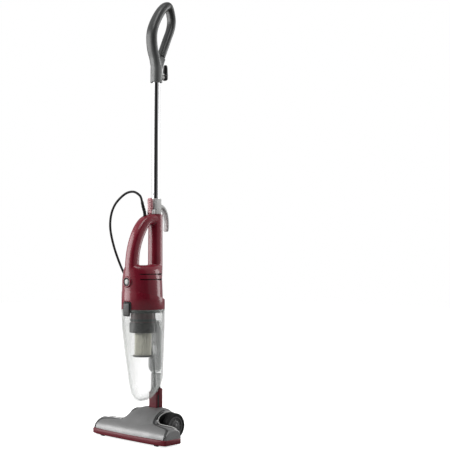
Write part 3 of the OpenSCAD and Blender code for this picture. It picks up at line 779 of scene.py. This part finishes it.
def build_head_cover():
    """One skin over the bar and the hump, and the dark strip sunk in its parting groove as painted shade."""
    skin = fused(joined(bar_solid(), hump_solid()), 1.5, 7)
    tree = surface(skin)
    groove = snapped(tree, spline(PARTING_LINE, 6))
    line_cutter = pipe(groove, [3.2] * len(groove), 16)
    below = cuboid((-200, -200, -50), (200, 200, BAND_TOP + 0.25))
    neck_slot = slab(box_outline(32, 70, 0, 46, 3), "z", 30, 100, 0.2)
    drum_room = rod(22.6, -17, 17, HINGE, ALONG_X, 96)
    cover = carved(skin, [below, neck_slot, drum_room, line_cutter, mirrored(line_cutter)])
    piece("Head_Cover", cover, "floor_head", METALLIC, ["head_cover"], 30)
    # Painted shade: a dark strip at the bottom of the groove makes it look deeper in shadow than its own
    # shading does
    sunk = [p for p in snapped(tree, groove, -2.6) if p[2] > BAND_TOP + 3.2]
    strip = pipe(sunk, [3.1] * len(sunk), 16)
    piece("Parting_Groove_Shade", both_sides(strip), "floor_head", GROOVE_SHADE)


def build_arches():
    """A pale rim along each arch's edge as a painted highlight, and a black plastic wall inside it that also
    paints its deep shade.
    """
    # Painted highlight: a pale tube along the edge of each arch stands for the light caught by the cover's
    # edge there
    edge = spline(ARCH_EDGE, 6)
    rim = pipe(edge, [0.9] + [1.3] * (len(edge) - 2) + [0.9], 14)
    piece("Arch_Rim_Highlights", both_sides(rim), "floor_head", PALE_METAL_AND_HIGHLIGHT)
    # Painted shade: the black wall darkens the inside of the arch, where the hump's side would otherwise look
    # lit
    wall = slab(rounded(ARCH_SHADE_WALL, 5), "x", 42, 50.6, 0.8)
    piece("Arch_Shade_Walls", both_sides(wall), "floor_head", BLACK)


def build_base_band():
    """The coloured band, with a fine groove at its top."""
    outer, inner = [], []
    for z, inset in ((4.0, 1.4), (4.6, 0.5), (5.6, 0.0), (15.4, 0.0), (16.4, 0.5), (16.9, 1.2)):
        outer.append([(x, y, z) for x, y in band_plan(inset)])
        inner.append([(x, y, z) for x, y in band_plan(4.0)])
    piece("Base_Band", tube_wall(outer, inner), "floor_head", DARK_RED, ["base_band"], 30)


build_head_cover()
build_arches()
build_base_band()

# ---------- Wheels ----------
WHEEL_OUT = WHEEL_IN + WHEEL_W
SHOULDER_R = 2.6
TREAD_GROOVES = 5
HUB_RIBS = 12
# The hub's outer face from its edge to its middle: (depth below the wheel's side, radius)
HUB_FACE = [
    (1.2, 24), (0.6, 23.4), (0.6, 21.4), (1.0, 21), (3.0, 20.2), (3.2, 19.6), (3.2, 14.6), (2.9, 14.1),
    (1.6, 13.5), (1.4, 13), (1.4, 9.2), (1.8, 8.8), (1.8, 7.6), (1.2, 7.2), (-0.6, 5.6), (-1.2, 4.2),
    (-1.4, 0),
]


def tyre_shape():
    """A tyre with round shoulders and fine grooves round its tread."""
    side = WHEEL_R - SHOULDER_R
    profile = [(WHEEL_IN, WHEEL_R - 7)]
    for k in range(4):
        a = k * pi / 8
        profile.append((WHEEL_IN + SHOULDER_R * (1 - cos(a)), side + SHOULDER_R * sin(a)))
    for k in range(TREAD_GROOVES):
        middle = WHEEL_IN + 3.6 + 2.2 * k
        profile += [(middle - 0.45, WHEEL_R), (middle - 0.25, WHEEL_R - 0.7)]
        profile += [(middle + 0.25, WHEEL_R - 0.7), (middle + 0.45, WHEEL_R)]
    for k in range(1, 5):
        a = k * pi / 8
        profile.append((WHEEL_OUT - SHOULDER_R * (1 - sin(a)), side + SHOULDER_R * cos(a)))
    profile += [(WHEEL_OUT, WHEEL_R - 5.2), (WHEEL_OUT - 0.6, WHEEL_R - 5.0)]
    profile += [(WHEEL_OUT - 0.6, WHEEL_R - 7.9), (WHEEL_IN + 0.6, WHEEL_R - 7.9)]
    return revolve(profile, HINGE, ALONG_X, 128)


def hub_shape():
    """A dished hub with ribs across its outer trough."""
    profile = [(WHEEL_IN + 0.6, 4.3), (WHEEL_IN + 0.6, WHEEL_R - 8)]
    profile += [(WHEEL_OUT - depth, r) for depth, r in HUB_FACE]
    bar = cuboid((WHEEL_OUT - 3.4, -0.7, 13.8), (WHEEL_OUT - 2.3, 0.7, 20.4))
    ribs = [moved(bar, turned(HINGE, k * 360 / HUB_RIBS, "X")) for k in range(HUB_RIBS)]
    return joined(revolve(profile, HINGE, ALONG_X, 96), *ribs)


def build_wheels():
    tyre, hub = tyre_shape(), hub_shape()
    for side, placed in (("Right", (tyre, hub)), ("Left", (mirrored(tyre), mirrored(hub)))):
        body = side.lower() + "_wheel"
        piece(f"{side}_Tyre", placed[0], body, TYRE, [side.lower() + "_tyre"], 30)
        piece(f"{side}_Hub", placed[1], body, HUB, [side.lower() + "_hub"], 30)


build_wheels()

# ---------- Neck ----------
NECK_W, NECK_D, NECK_TOP = 30, 21, 134


def slope(z, degrees):
    """A large box that starts at height z on the neck's front, turned about X."""
    return moved(cuboid((-30, 0, 0), (30, 60, 60)), turned((0, HINGE_Y - 11, z), degrees, "X"))


def build_neck():
    """The shell with a sloping front edge and a nearly flat top, and two strips on each side."""
    block = plan_block(NECK_W, NECK_D, HINGE_Y, 54.2, NECK_TOP, 3, 1.0)
    cutters = [slope(107, 45), slope(122.6, -9), plan_block(24, 15.6, HINGE_Y, 40, 140, 1.5, 0.2)]
    cutters.append(cuboid((-5.5, HINGE_Y + 7, 110), (5.5, HINGE_Y + 15, 123)))
    strips = []
    for s in (-1, 1):
        x = s * NECK_W / 2
        cutters.append(slab(box_outline(5, 76, HINGE_Y - 5.5, 88, 1.2), "x", x - 1.3, x + 1.3, 0.1))
        x -= s * 0.7
        for y in (HINGE_Y - 6.7, HINGE_Y - 4.3):
            strips.append(slab(box_outline(1.9, 49, y, 79.5, 0.8), "x", x - 0.6, x + 0.6, 0.3))
    shell = bevelled(carved(block, cutters), 0.5, 2)
    piece("Neck_Cover", shell, "neck", DARK_RED, ["neck_shell"], 40)
    piece("Neck_Strips", joined(*strips), "neck", BLACK, ["neck_strips"])


build_neck()

# ---------- Dust cup ----------
# Rings down the cup: (y, z, half width, half depth, tilt)
CUP_RINGS = [
    (BODY_Y, SEAM_Z, 54, 54, 0), (-20.7, 281, 53.2, 53.2, 0), (-19, 250, 51.5, 51.5, 0),
    (-15.8, 203, 48.3, 48.3, 0), (-12.8, 165, 45.3, 45.3, 4), (-8.5, 135, 42.5, 45.5, 27),
    (-9.5, 121, 36, 42, 27), (-13.5, 104, 25, 29, 19.5), (-17.5, 95, 14, 18, 10),
]
CUP_WALL = 2.4
SPOUT_W, SPOUT_D, SPOUT_WALL = 22, 14.4, 1.6
DUCT_HALF_W, DUCT_TOP, DUCT_LOW = 18, 290, 176


def cup_rings(inset):
    """The cup's rings, moved inwards and all but the first moved up."""
    rings = []
    for i, (y, z, a, b, tilt) in enumerate(spline(CUP_RINGS, 4)):
        rings.append(section(y, z + (inset if i else 0), a - inset, b - inset, radians(tilt), 2, 96))
    return rings


def build_dust_cup():
    """The clear cup with the hole for its spout, and the bead round its mouth."""
    hole = plan_block(SPOUT_W + 0.4, SPOUT_D + 0.2, HINGE_Y, 88, 157, 1.6, 0.1)
    wall = carved(cup_wall(cup_rings(0), cup_rings(CUP_WALL)), [hole])
    piece("Dust_Cup", wall, "canister", CLEAR, ["dust_cup"], 40)
    bead = [(-0.2, 54), (0, 54.25), (-0.8, 54.3), (-3.4, 54.15), (-4, 53.85), (-4, 51.6), (-0.2, 51.6)]
    piece("Cup_Rim", upright(bead, SEAM_Z), "canister", CLEAR)


def build_inlet():
    """The spout that stands in the neck, and the flat duct above it in the back of the cup."""
    bore_w, bore_d = SPOUT_W - 2 * SPOUT_WALL, SPOUT_D - 2 * SPOUT_WALL
    bore = plan_block(bore_w, bore_d, HINGE_Y, 70, 170, 1, 0.1)
    spout = carved(plan_block(SPOUT_W, SPOUT_D, HINGE_Y, 76, 157.6, 1.5, 0.3), [bore])
    piece("Cup_Spout", spout, "canister", SMOKE, ["cup_spout"], 40)
    arch = [(-DUCT_HALF_W, DUCT_TOP), (DUCT_HALF_W, DUCT_TOP)]
    for k in range(17):
        a = -pi * k / 16
        arch.append((DUCT_HALF_W * cos(a), DUCT_LOW + DUCT_HALF_W * sin(a)))
    inside = [(x * 0.87, 224 + (z - 224) * 0.955) for x, z in arch]
    window = cuboid((-13, 5, 206), (13, 18, 228))
    cutters = [slab(inside, "y", 15.4, 23.6, 1.0), window, plan_block(bore_w, bore_d, 20.2, 150, 165, 1, 0.1)]
    duct = carved(slab(arch, "y", 13.6, 25.4, 2.2), cutters)
    piece("Inlet_Duct", duct, "canister", SMOKE, ["inlet_duct"], 40)


build_dust_cup()
build_inlet()

# ---------- Filter and the cup round the motor ----------
PLEAT_R, FILTER_BORE_R = 18.7, 15.2


def build_filter_ends():
    """The collar that twists into the motor cup, and the cap at the bottom."""
    collar = [
        (0, 13), (0, 32.8), (1, 33.8), (7.4, 33.8), (7.8, 33.3), (8.6, 33.3), (9, 33.8), (24, 33.8),
        (25, 33.2), (25, 31.4), (3.6, 31.4), (3.6, 13),
    ]
    piece("Filter_Collar", upright(collar, 262), "filter", BLACK_GLOSS, ["filter_ring"], 30)
    cap = [(0, 0), (0, 23.8), (0.8, 24.9), (2.6, 25.9), (3.5, 25.5), (3.5, 21.6), (2.7, 21.2), (2.7, 0)]
    piece("Filter_Cap", upright(cap, 202), "filter", HUB, ["filter_cap"], 30)


def build_pleats():
    """Upright folds of felt, a little uneven and drawn in at both ends."""
    levels = [(205.5, -0.7), (206.3, 0), (220, 0.15), (234, -0.1), (248, 0.12), (261.2, 0), (261.9, -0.7)]
    outer, inner = [], []
    for z, swell in levels:
        ring, bore = [], []
        for k in range(480):
            a = 2 * pi * k / 480
            fold = abs(((k / 16) % 1) * 2 - 1)
            r = PLEAT_R + swell + 2.2 * (1 - (1 - fold) ** 1.6) + 0.125 * sin(7 * a + z / 9)
            ring.append((r * cos(a), BODY_Y + r * sin(a), z))
            bore.append((FILTER_BORE_R * cos(a), BODY_Y + FILTER_BORE_R * sin(a), z))
        outer.append(ring)
        inner.append(bore)
    piece("Filter_Pleats", tube_wall(outer, inner), "filter", FELT, ["filter_pleats"], 60)


def build_motor_cup():
    """The round cup below the motor, with its wide flange on top."""
    profile = [
        (0, 16), (0, 29.4), (0.6, 30), (25, 30.4), (53, 31), (54.3, 31), (54.3, 48), (56.7, 48),
        (56.7, 28.4), (4, 28.4), (4, 16),
    ]
    piece("Motor_Cup", upright(profile, 266), "motor_unit", MOTOR_RED, ["motor_cup"], 30)


build_filter_ends()
build_pleats()
build_motor_cup()

# ---------- Motor unit with its handle ----------
# Rings up the body: (y, z, half width, half depth)
UNIT_RINGS = [
    (BODY_Y, SEAM_Z - 6, 54, 54), (BODY_Y, SEAM_Z + 0.3, 53, 53), (-24, 345, 50.5, 51.5),
    (-24.6, 363, 50, 51), (-25.2, 391, 49, 50.3), (-24.6, 404, 46.5, 50.8), (-23.4, 416, 43, 51.6),
    (-22, 424, 37, 52.5), (-21, 429, 28, 52),
]
# The handle's front arm and the post behind it: (y, z, half width, half thickness)
ARM_PATH = [
    (-58.5, 396, 17, 16), (-59.5, 428, 16.5, 15.5), (-56.5, 460, 16, 15), (-48, 490, 16, 15),
    (-35, 517, 16.5, 14.5), (-20, 536, 17, 13), (-4, 544, 17, 13), (14, 544.5, 17, 12.5),
]
POST_PATH = [
    (12, 350, 6, 7), (15.5, 378, 14, 14), (WAND_Y, 404, 17, 17), (WAND_Y, 500, 17, 17),
    (WAND_Y, HOUSING_TOP + 8, 17, 17),
]
VENTS = [393, 406]
VENT_H = 2.4


def above_skirt():
    """A box that holds everything above the slanting edge of the skirt."""
    return moved(cuboid((-150, -150, 0), (150, 150, 400)), turned((0, BODY_Y, 353), -13.8, "X"))


def latch_opening():
    """The room for the latch in the front of the body."""
    return slab(box_outline(28.4, 40.4, 0, SEAM_Z, 5.2), "y", -90, -62, 0.1)


def vent_cutter(z, s):
    """A slot round one side of the body, from its front to just behind its middle."""
    path = [(s * 30, -62), (s * 30, -6), (s * 61, -6), (s * 61, -62)]
    return slab(rounded(path, 3), "z", z, z + VENT_H, 0.1)


def build_housing():
    """One skin over the body, the arm and the post, hollow and open below."""
    body = loft([section(y, z, a, b, 0, 2, 96) for y, z, a, b in spline(UNIT_RINGS, 3)])
    arm = along(spline(ARM_PATH, 4), 2.7)
    post = along(spline(POST_PATH, 4), 2.5)
    skin = fused(joined(body, arm, post), 1.5, 9)
    hollow = loft([section(y, z, a - 4.8, b - 4.8, 0, 2, 64) for y, z, a, b in spline(UNIT_RINGS[:7], 2)])
    cutters = [
        carved(annulus(51.2, 70, 300, 380), [above_skirt()]),
        cuboid((-200, -200, 250), (200, 200, SEAM_Z + 0.3)),
        cuboid((-200, -200, HOUSING_TOP), (200, 200, 700)),
        hollow,
        rod(TUBE_R + 0.5, 468, 700, WAND, ALONG_Z, 64),
        rod(12.4, 0, 60, (0, -58, BUTTON_Z), FORWARD, 96),
        rod(4.4, 0, 60, (0, -18, 536), ALONG_Z, 48),
        latch_opening(),
    ]
    cutters += [vent_cutter(z, s) for z in VENTS for s in (-1, 1)]
    housing = carved(skin, cutters)
    piece("Handle_Housing", housing, "motor_unit", BURGUNDY, ["handle_housing"], 34)


def build_vents():
    """The dark round ends of the slots, and the dark liners behind them."""
    stud = [(0, 0), (0, 2.1), (5.2, 2.1), (5.6, 1.6), (5.6, 0)]
    ends, liners = [], []
    for z in VENTS:
        middle = z + VENT_H / 2
        ends += [revolve(stud, (s * 42.5, -6.8, middle), (s, 0.28, 0), 24) for s in (-1, 1)]
        liners.append(annulus(44.0, 45.0, z - 0.4, z + VENT_H + 0.4, 96))
    piece("Vent_Ends", joined(*ends), "motor_unit", BLACK)
    piece("Vent_Liners", joined(*liners), "motor_unit", BLACK)


def build_skirt():
    """The lower skirt that reaches over the cup's mouth, with its slanting upper edge."""
    low = SEAM_Z + 0.3
    profile = [(low, 51.6), (low, 53.6), (low + 0.5, 54), (346, 53.95), (380, 53.6), (380, 51.3)]
    ring = carved(upright(profile, 0, 160), [above_skirt(), latch_opening()])
    skirt = bevelled(ring, 0.55, 3)
    piece("Lower_Skirt", skirt, "motor_unit", BURGUNDY, ["lower_skirt"], 40)


build_housing()
build_vents()
build_skirt()

# ---------- Latch and power button ----------
WRAP_R = 56.0


def wrapped(shape):
    """A flat shape (x, distance outwards, z) bent round the body's axis."""
    out = []
    for x, d, z in shape[0]:
        a, r = x / WRAP_R, BODY_R + d
        out.append((r * sin(a), BODY_Y - r * cos(a), z))
    return out, shape[1]


def curved_plate(w, h, cz, r, d0, d1, edge):
    """A plate bent round the body, between two distances from it, with a rounded outer edge."""
    outline = rounded(rectangle(w, h, 0, cz), r, 6)
    rings = []
    for d, inset in ((d0, 0), (d1 - edge, 0), (d1 - edge * 0.3, edge * 0.3), (d1, edge)):
        across, up = 1 - 2 * inset / w, 1 - 2 * inset / h
        rings.append([(x * across, d, cz + (z - cz) * up) for x, z in outline])
    for f in (0.75, 0.45, 0.15):
        rings.append([(x * f, d1, cz + (z - cz) * f) for x, z in outline])
    return wrapped(loft(rings))


def build_latch():
    """The rocking latch over the seam: a black body on its pivot, a grey pad and three ribs."""
    plate = curved_plate(23.6, 32, SEAM_Z, 4, 0.5, 2.7, 0.6)
    pivot = rod(1.5, -8, 8, (0, -73.2, 323), ALONG_X, 24)
    web = cuboid((-6, -76, 322), (6, -73, 324))
    whole = joined(plate, pivot, web)
    piece("Latch_Body", whole, "latch", BLACK, ["canister_latch"], 40)
    pad = curved_plate(20.6, 29, SEAM_Z, 3.4, 2.4, 3.5, 0.7)
    piece("Latch_Pad", pad, "latch", LATCH_GREY)
    ribs = [curved_plate(13, 0.9, 309.5 + 2.4 * k, 0.4, 3.35, 3.62, 0.1) for k in range(3)]
    piece("Latch_Ribs", joined(*ribs), "latch", BLACK)


def build_power_button():
    """The bezel, the black button with its dished rim, and the grey dome in the dish."""
    middle = (0, -60.5, BUTTON_Z)
    bezel = [
        (0, 10.2), (0, 12.2), (13, 12.2), (13.3, 14.6), (13.7, 15), (14.6, 14.8), (16, 14.2), (17.2, 13.2),
        (17.8, 12.2), (17.7, 11.1), (17, 10.2),
    ]
    shape = revolve(bezel, (0, -60, BUTTON_Z), FORWARD, 96)
    piece("Button_Bezel", shape, "motor_unit", BURGUNDY, ["button_bezel"], 30)
    dish = [
        (0, 0), (0, 9.8), (15.6, 9.8), (16.7, 9.4), (17.1, 8.7), (17, 7.9), (16.4, 7.2), (15.8, 7), (15.8, 0)
    ]
    shape = revolve(dish, middle, FORWARD, 96)
    piece("Power_Button", shape, "switch", BLACK_GLOSS, ["power_button"], 30)
    dome = [(15.6, 0), (15.6, 6.7), (16.5, 6.7), (17.0, 6.2), (17.35, 4.6), (17.55, 2.4), (17.6, 0)]
    piece("Button_Face", revolve(dome, middle, FORWARD, 96), "switch", GREY)


build_latch()
build_power_button()

# ---------- Wand ----------
# The lower hook: (y, z, half width, half thickness)
LOWER_HOOK = [
    (29.5, 577, 8, 6), (36, 577.5, 8, 5), (45, 572, 8, 4.4), (52, 560, 8, 4), (56, 543, 8, 3.6),
    (56.5, 525, 8, 3.3), (55.7, 517, 7.4, 3), (55.4, 514.6, 5.6, 1.8),
]


def build_wand_collar():
    """The grooved block on the housing, with its spigot and the ears for the lever's pin."""
    foot = HOUSING_TOP + 0.6
    low, high = HOUSING_TOP + 4, COLLAR_TOP + 2
    core = plan_block(21.6, 21.6, WAND_Y, HOUSING_TOP - 4, COLLAR_TOP + 6, 4.4, 0.1)
    grooves, ears = [], []
    for s in (-1, 1):
        x, y = s * 7.6, WAND_Y + s * 7.6
        for bar in (
            cuboid((x - 0.45, WAND_Y - 15, low), (x + 0.45, WAND_Y + 15, high)),
            cuboid((-15, y - 0.45, low), (15, y + 0.45, high)),
        ):
            grooves.append(carved(bar, [core]))
        ear = rounded([(-1, foot), (8, foot), (8, foot + 11), (-1, foot + 11)], 2)
        ears.append(slab(ear, "x", s * 9 - 1.5, s * 9 + 1.5, 0.4))
    block = plan_block(23, 23, WAND_Y, HOUSING_TOP + 0.4, COLLAR_TOP, 5, 1.2)
    block = carved(block, grooves + [rod(TUBE_R - 1, 540, 640, WAND, ALONG_Z, 64)])
    spigot = [(500, TUBE_R - 2), (500, TUBE_R - 0.6), (500.6, TUBE_R), (foot, TUBE_R), (foot, TUBE_R - 2)]
    below = mesh(joined(revolve(spigot, WAND, ALONG_Z, 64), *ears))
    piece("Wand_Collar", merged(block, below), "wand", GREY, ["wand_collar"], 34)


def build_wand_tube():
    """The chrome tube, narrower where it stands in the collar."""
    low, high = COLLAR_TOP + 0.05, 913
    profile = [
        (low - 38, 7.6), (low - 38, 8.75), (low, 8.75), (low, 9.6), (low + 0.2, TUBE_R), (high - 0.2, TUBE_R),
        (high, 9.6), (high, 7.6),
    ]
    piece("Wand_Tube", revolve(profile, WAND, ALONG_Z, 128), "wand", CHROME, ["wand_tube"], 30)


def build_lower_hook():
    """The flat hook behind the collar that the cord is wound on."""
    hook = along(spline(LOWER_HOOK, 5), 3.4)
    piece("Lower_Hook", hook, "wand", GREY, ["lower_hook"], 34)


def build_release_lever():
    """The upright lever in front of the collar, with ribs for the thumb."""
    rings = []
    for i in range(19):
        t = i / 18
        shrink = 1.2 * max(0, 1 - min(t, 1 - t) * 18) ** 2
        half_width, half_depth = 6.6 + 0.4 * t - shrink, 3.1 - shrink
        flat = [oval(2 * pi * k / 48, half_width, half_depth, 4.5) for k in range(48)]
        rings.append([(x, 2.2 - 2.4 * t + d, HOUSING_TOP + 2 + 39 * t) for x, d in flat])
    ribs = []
    for k in range(6):
        outline = box_outline(12.4, 2.4, 0, HOUSING_TOP + 11 + k * 5, 0.9)
        ribs.append(slab(outline, "y", -4.3 - 0.28 * k, -0.9, 0.6))
    lever = joined(loft(rings), *ribs)
    piece("Release_Lever", lever, "lever", LEVER_RED, ["release_lever"], 34)


build_wand_collar()
build_wand_tube()
build_lower_hook()
build_release_lever()

# ---------- Grip ----------
# The loop from its foot up the front, over the top and down the back: (y, z, half width, half thickness)
LOOP_PATH = [
    (18, 928, 13, 11), (16, 940, 14, 11.5), (12, 956, 14.5, 11), (5, 975, 15, 10.5), (1.5, 1000, 15, 10.5),
    (3.5, 1024, 15, 10.5), (14, 1050, 14.5, 10.5), (32, 1078, 14, 10.5), (51, 1095.6, 13, 10.5),
    (61.5, 1092, 12.5, 9), (68.5, 1074, 12.5, 8.5), (70.5, 1056, 12.5, 8.5), (66, 1035, 12.5, 8.5),
    (55, 1010, 12.5, 8.5), (43, 982, 12.5, 8.5), (34, 960, 12, 8),
]
# The socket upwards: (y, z, half width, half depth)
SOCKET_RINGS = [
    (WAND_Y, GRIP_Z - 6, 14, 13), (WAND_Y, GRIP_Z, 14, 13), (WAND_Y, 912, 14, 13), (WAND_Y, 926, 14.2, 12.8),
    (WAND_Y - 0.7, 938, 13.6, 12.2), (14, 952, 12, 9),
]
# The web between the two ends of the loop, seen from the side
SOCKET_WEB = [(16, 924), (30, 924), (36, 942), (42, 956), (28, 962.5), (20, 957), (14, 938)]
# The upper hook's arm: (y, height over the hook's pivot, half width, half thickness)
UPPER_HOOK = [
    (49, -6.6, 4.5, 2.6), (49, -3.6, 7.0, 5.4), (49.2, 3, 7.2, 5.8), (49.6, 14, 6.6, 5.2), (50, 25, 5.8, 4.6),
    (50.1, 30.4, 4.9, 4.1), (50.2, 33.2, 3.0, 2.4),
]


def build_grip_loop():
    """The rubbery loop of the grip, cut off at a slope where it meets the socket."""
    skin = fused(along(spline(LOOP_PATH, 4), 2.7, 56), 1.2, 5)
    below = moved(cuboid((-60, -60, -200), (60, 60, 0)), turned((0, 22, 936), 8, "X"))
    piece("Grip_Loop", carved(skin, [below]), "wand", CHARCOAL, ["grip_loop"], 40)


def build_grip_socket():
    """The socket on the tube, with a notch through its foot and holes for screw and hook."""
    lower = loft([section(y, z, a, b, 0, 3.0, 64) for y, z, a, b in spline(SOCKET_RINGS, 4)])
    web = slab(rounded(SOCKET_WEB, 4), "x", -11, 11, 3)
    skin = fused(joined(lower, web), 1.1, 5)
    cutters = [
        cuboid((-40, -40, 860), (40, 60, GRIP_Z)),
        rod(TUBE_R + 0.1, 880, 919, WAND, ALONG_Z, 64),
        moved(cuboid((-4, -30, -4), (4, 30, 4)), turned((0, WAND_Y, GRIP_Z - 3), 45, "Y")),
        rod(6.6, 0, 12, (0, WAND_Y + 10.4, HOOK_Z), ALONG_Y, 48),
        rod(2.6, 0, 12, (0, WAND_Y - 9, HOOK_Z), FORWARD, 32),
    ]
    piece("Grip_Socket", carved(skin, cutters), "wand", SOCKET_GREY, ["grip_socket"], 36)


def build_upper_hook():
    """The hook that turns about its stem to drop the cord, and the pale band across its arm as a painted
    highlight.
    """
    stem = [(-9, 0), (-9, 3), (0, 3), (0, 6), (4, 6.8), (7, 7), (7, 0)]
    stem = revolve(stem, (0, WAND_Y + 23, HOOK_Z), ALONG_Y, 48)
    arm = along(spline([(y, HOOK_Z + rise, a, b) for y, rise, a, b in UPPER_HOOK], 4), 2.6)
    piece("Upper_Hook", joined(stem, arm), "cord_hook", BLACK, ["upper_hook"], 34)
    # Painted highlight: a pale band round the hook's arm stands for the light on its round base
    rings = [section(0, z, 7.6 - abs(z) * 0.06, 6.1, 0, 2.6, 48) for z in (-2.6, -1.3, 0, 1.3, 2.6)]
    band = moved(loft(rings), turned((0, 49.5, HOOK_Z + 8), 32, "Y"))
    piece("Hook_Highlight_Band", band, "cord_hook", PALE_METAL_AND_HIGHLIGHT)


build_grip_loop()
build_grip_socket()
build_upper_hook()

# ---------- Finishes of the CAD nodes that stay ----------
CAD_FINISHES = [
    (BLACK, ["sole_plate", "mouth_duct", "axle_bosses", "neck_drum"]),
    (BLACK, ["fan_cover", "switch_box", "latch_frame"]),
    (RUBBER, ["front_glides", "cup_seal", "cup_gasket"]),
    (PILE, ["lint_strips"]),
    (STEEL, ["wheel_axle", "sole_screws", "motor_bearings", "lever_pin"]),
    (PALE_METAL_AND_HIGHLIGHT, ["motor_stator", "fan_wheel", "hook_pivot"]),
    (COPPER, ["motor_shaft"]),
    (HUB, ["tube_screw"]),
    (BURGUNDY, ["neck_catch"]),
]


def finish_cad_nodes():
    """Gives each remaining CAD node its material and finely rounded edges."""
    for material, names in CAD_FINISHES:
        for name in names:
            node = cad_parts[name]
            node.data.materials.clear()
            node.data.materials.append(material)
            edge = node.modifiers.new("edge", "BEVEL")
            edge.width = 0.35 * MM
            edge.segments = 2
            edge.limit_method = "ANGLE"
            edge.angle_limit = radians(50)


finish_cad_nodes()


# ---------- Floor, studio and lights ----------
def camera_ray(tree):
    """1 for what the camera sees directly, and 0 for reflections and light."""
    return add_node(tree, "LightPath", {}).outputs["Is Camera Ray"]


def build_floor():
    """A floor that the camera sees as white paper, and that reflects light like a grey one."""
    half = 6.0
    mat = plastic("floor_paper", (0.8, 0.8, 0.8), rough=0.9, bump=0.02, wear=0.0, vary=0.01)
    tree = mat.node_tree
    paper = principled(tree)
    paper.inputs["Emission Color"].default_value = (1, 1, 1, 1)
    paper.inputs["Emission Strength"].default_value = 0.8
    dim = add_node(tree, "BsdfDiffuse", {"Color": (0.35, 0.35, 0.35, 1)})
    pick = add_node(tree, "MixShader", {0: camera_ray(tree), 1: dim.outputs[0], 2: paper.outputs[0]})
    out = next(n for n in tree.nodes if n.type == "OUTPUT_MATERIAL")
    tree.links.new(pick.outputs[0], out.inputs["Surface"])
    data = bpy.data.meshes.new("floor")
    corners = [(x, y, 0) for x, y in rectangle(2 * half, 2 * half)]
    data.from_pydata(corners, [], [(0, 1, 2, 3)])
    data.materials.append(mat)
    scratch("floor", data)


def build_world():
    """A studio that the camera sees white, with a dark opening round the camera for reflections."""
    world = bpy.data.worlds.new("studio")
    bpy.context.scene.world = world
    world.use_nodes = True
    tree = world.node_tree
    tree.nodes.clear()
    toward = Vector((CAMERA_AT[0], CAMERA_AT[1], 0)).normalized()
    ray = add_node(tree, "TexCoord", {}).outputs["Generated"]
    level = add_node(tree, "VectorMath", {0: ray, 1: (1, 1, 0)}, operation="MULTIPLY").outputs[0]
    flat = add_node(tree, "VectorMath", {0: level}, operation="NORMALIZE").outputs[0]
    side = add_node(tree, "VectorMath", {0: flat, 1: toward}, operation="DOT_PRODUCT").outputs["Value"]
    grey = {"Value": side, "From Min": cos(radians(42)), "From Max": cos(radians(33))}
    grey.update({"To Min": 0.5, "To Max": 0.02})
    shade = add_node(tree, "MapRange", grey, interpolation_type="SMOOTHSTEP").outputs[0]
    dim = add_node(tree, "Background", {"Color": shade})
    white = add_node(tree, "Background", {"Color": (1, 1, 1, 1)})
    pick = add_node(tree, "MixShader", {0: camera_ray(tree), 1: dim.outputs[0], 2: white.outputs[0]})
    add_node(tree, "OutputWorld", {"Surface": pick.outputs[0]})


def softbox(name, azimuth, height, distance, size, power):
    """An area light aimed at the object, in metres; its azimuth is measured from the camera's own."""
    data = bpy.data.lights.new(name, "AREA")
    data.shape = "RECTANGLE"
    data.size, data.size_y = size
    data.energy = power
    light = scratch(name, data)
    turn = atan2(CAMERA_AT[1], CAMERA_AT[0]) + radians(azimuth)
    light.location = (distance * cos(turn), distance * sin(turn), height)
    light.rotation_mode = "QUATERNION"
    light.rotation_quaternion = (Vector((0, 0, 0.5)) - light.location).to_track_quat("-Z", "Y")
    light.visible_camera = False


build_floor()
build_world()
softbox("left softbox", -95, 0.9, 2.2, (1.7, 1.9), 52)
softbox("right softbox", 108, 0.9, 2.2, (1.0, 1.9), 30)
softbox("top softbox", -20, 2.6, 0.9, (1.4, 1.4), 26)
bpy.context.scene.view_settings.view_transform = "Standard"
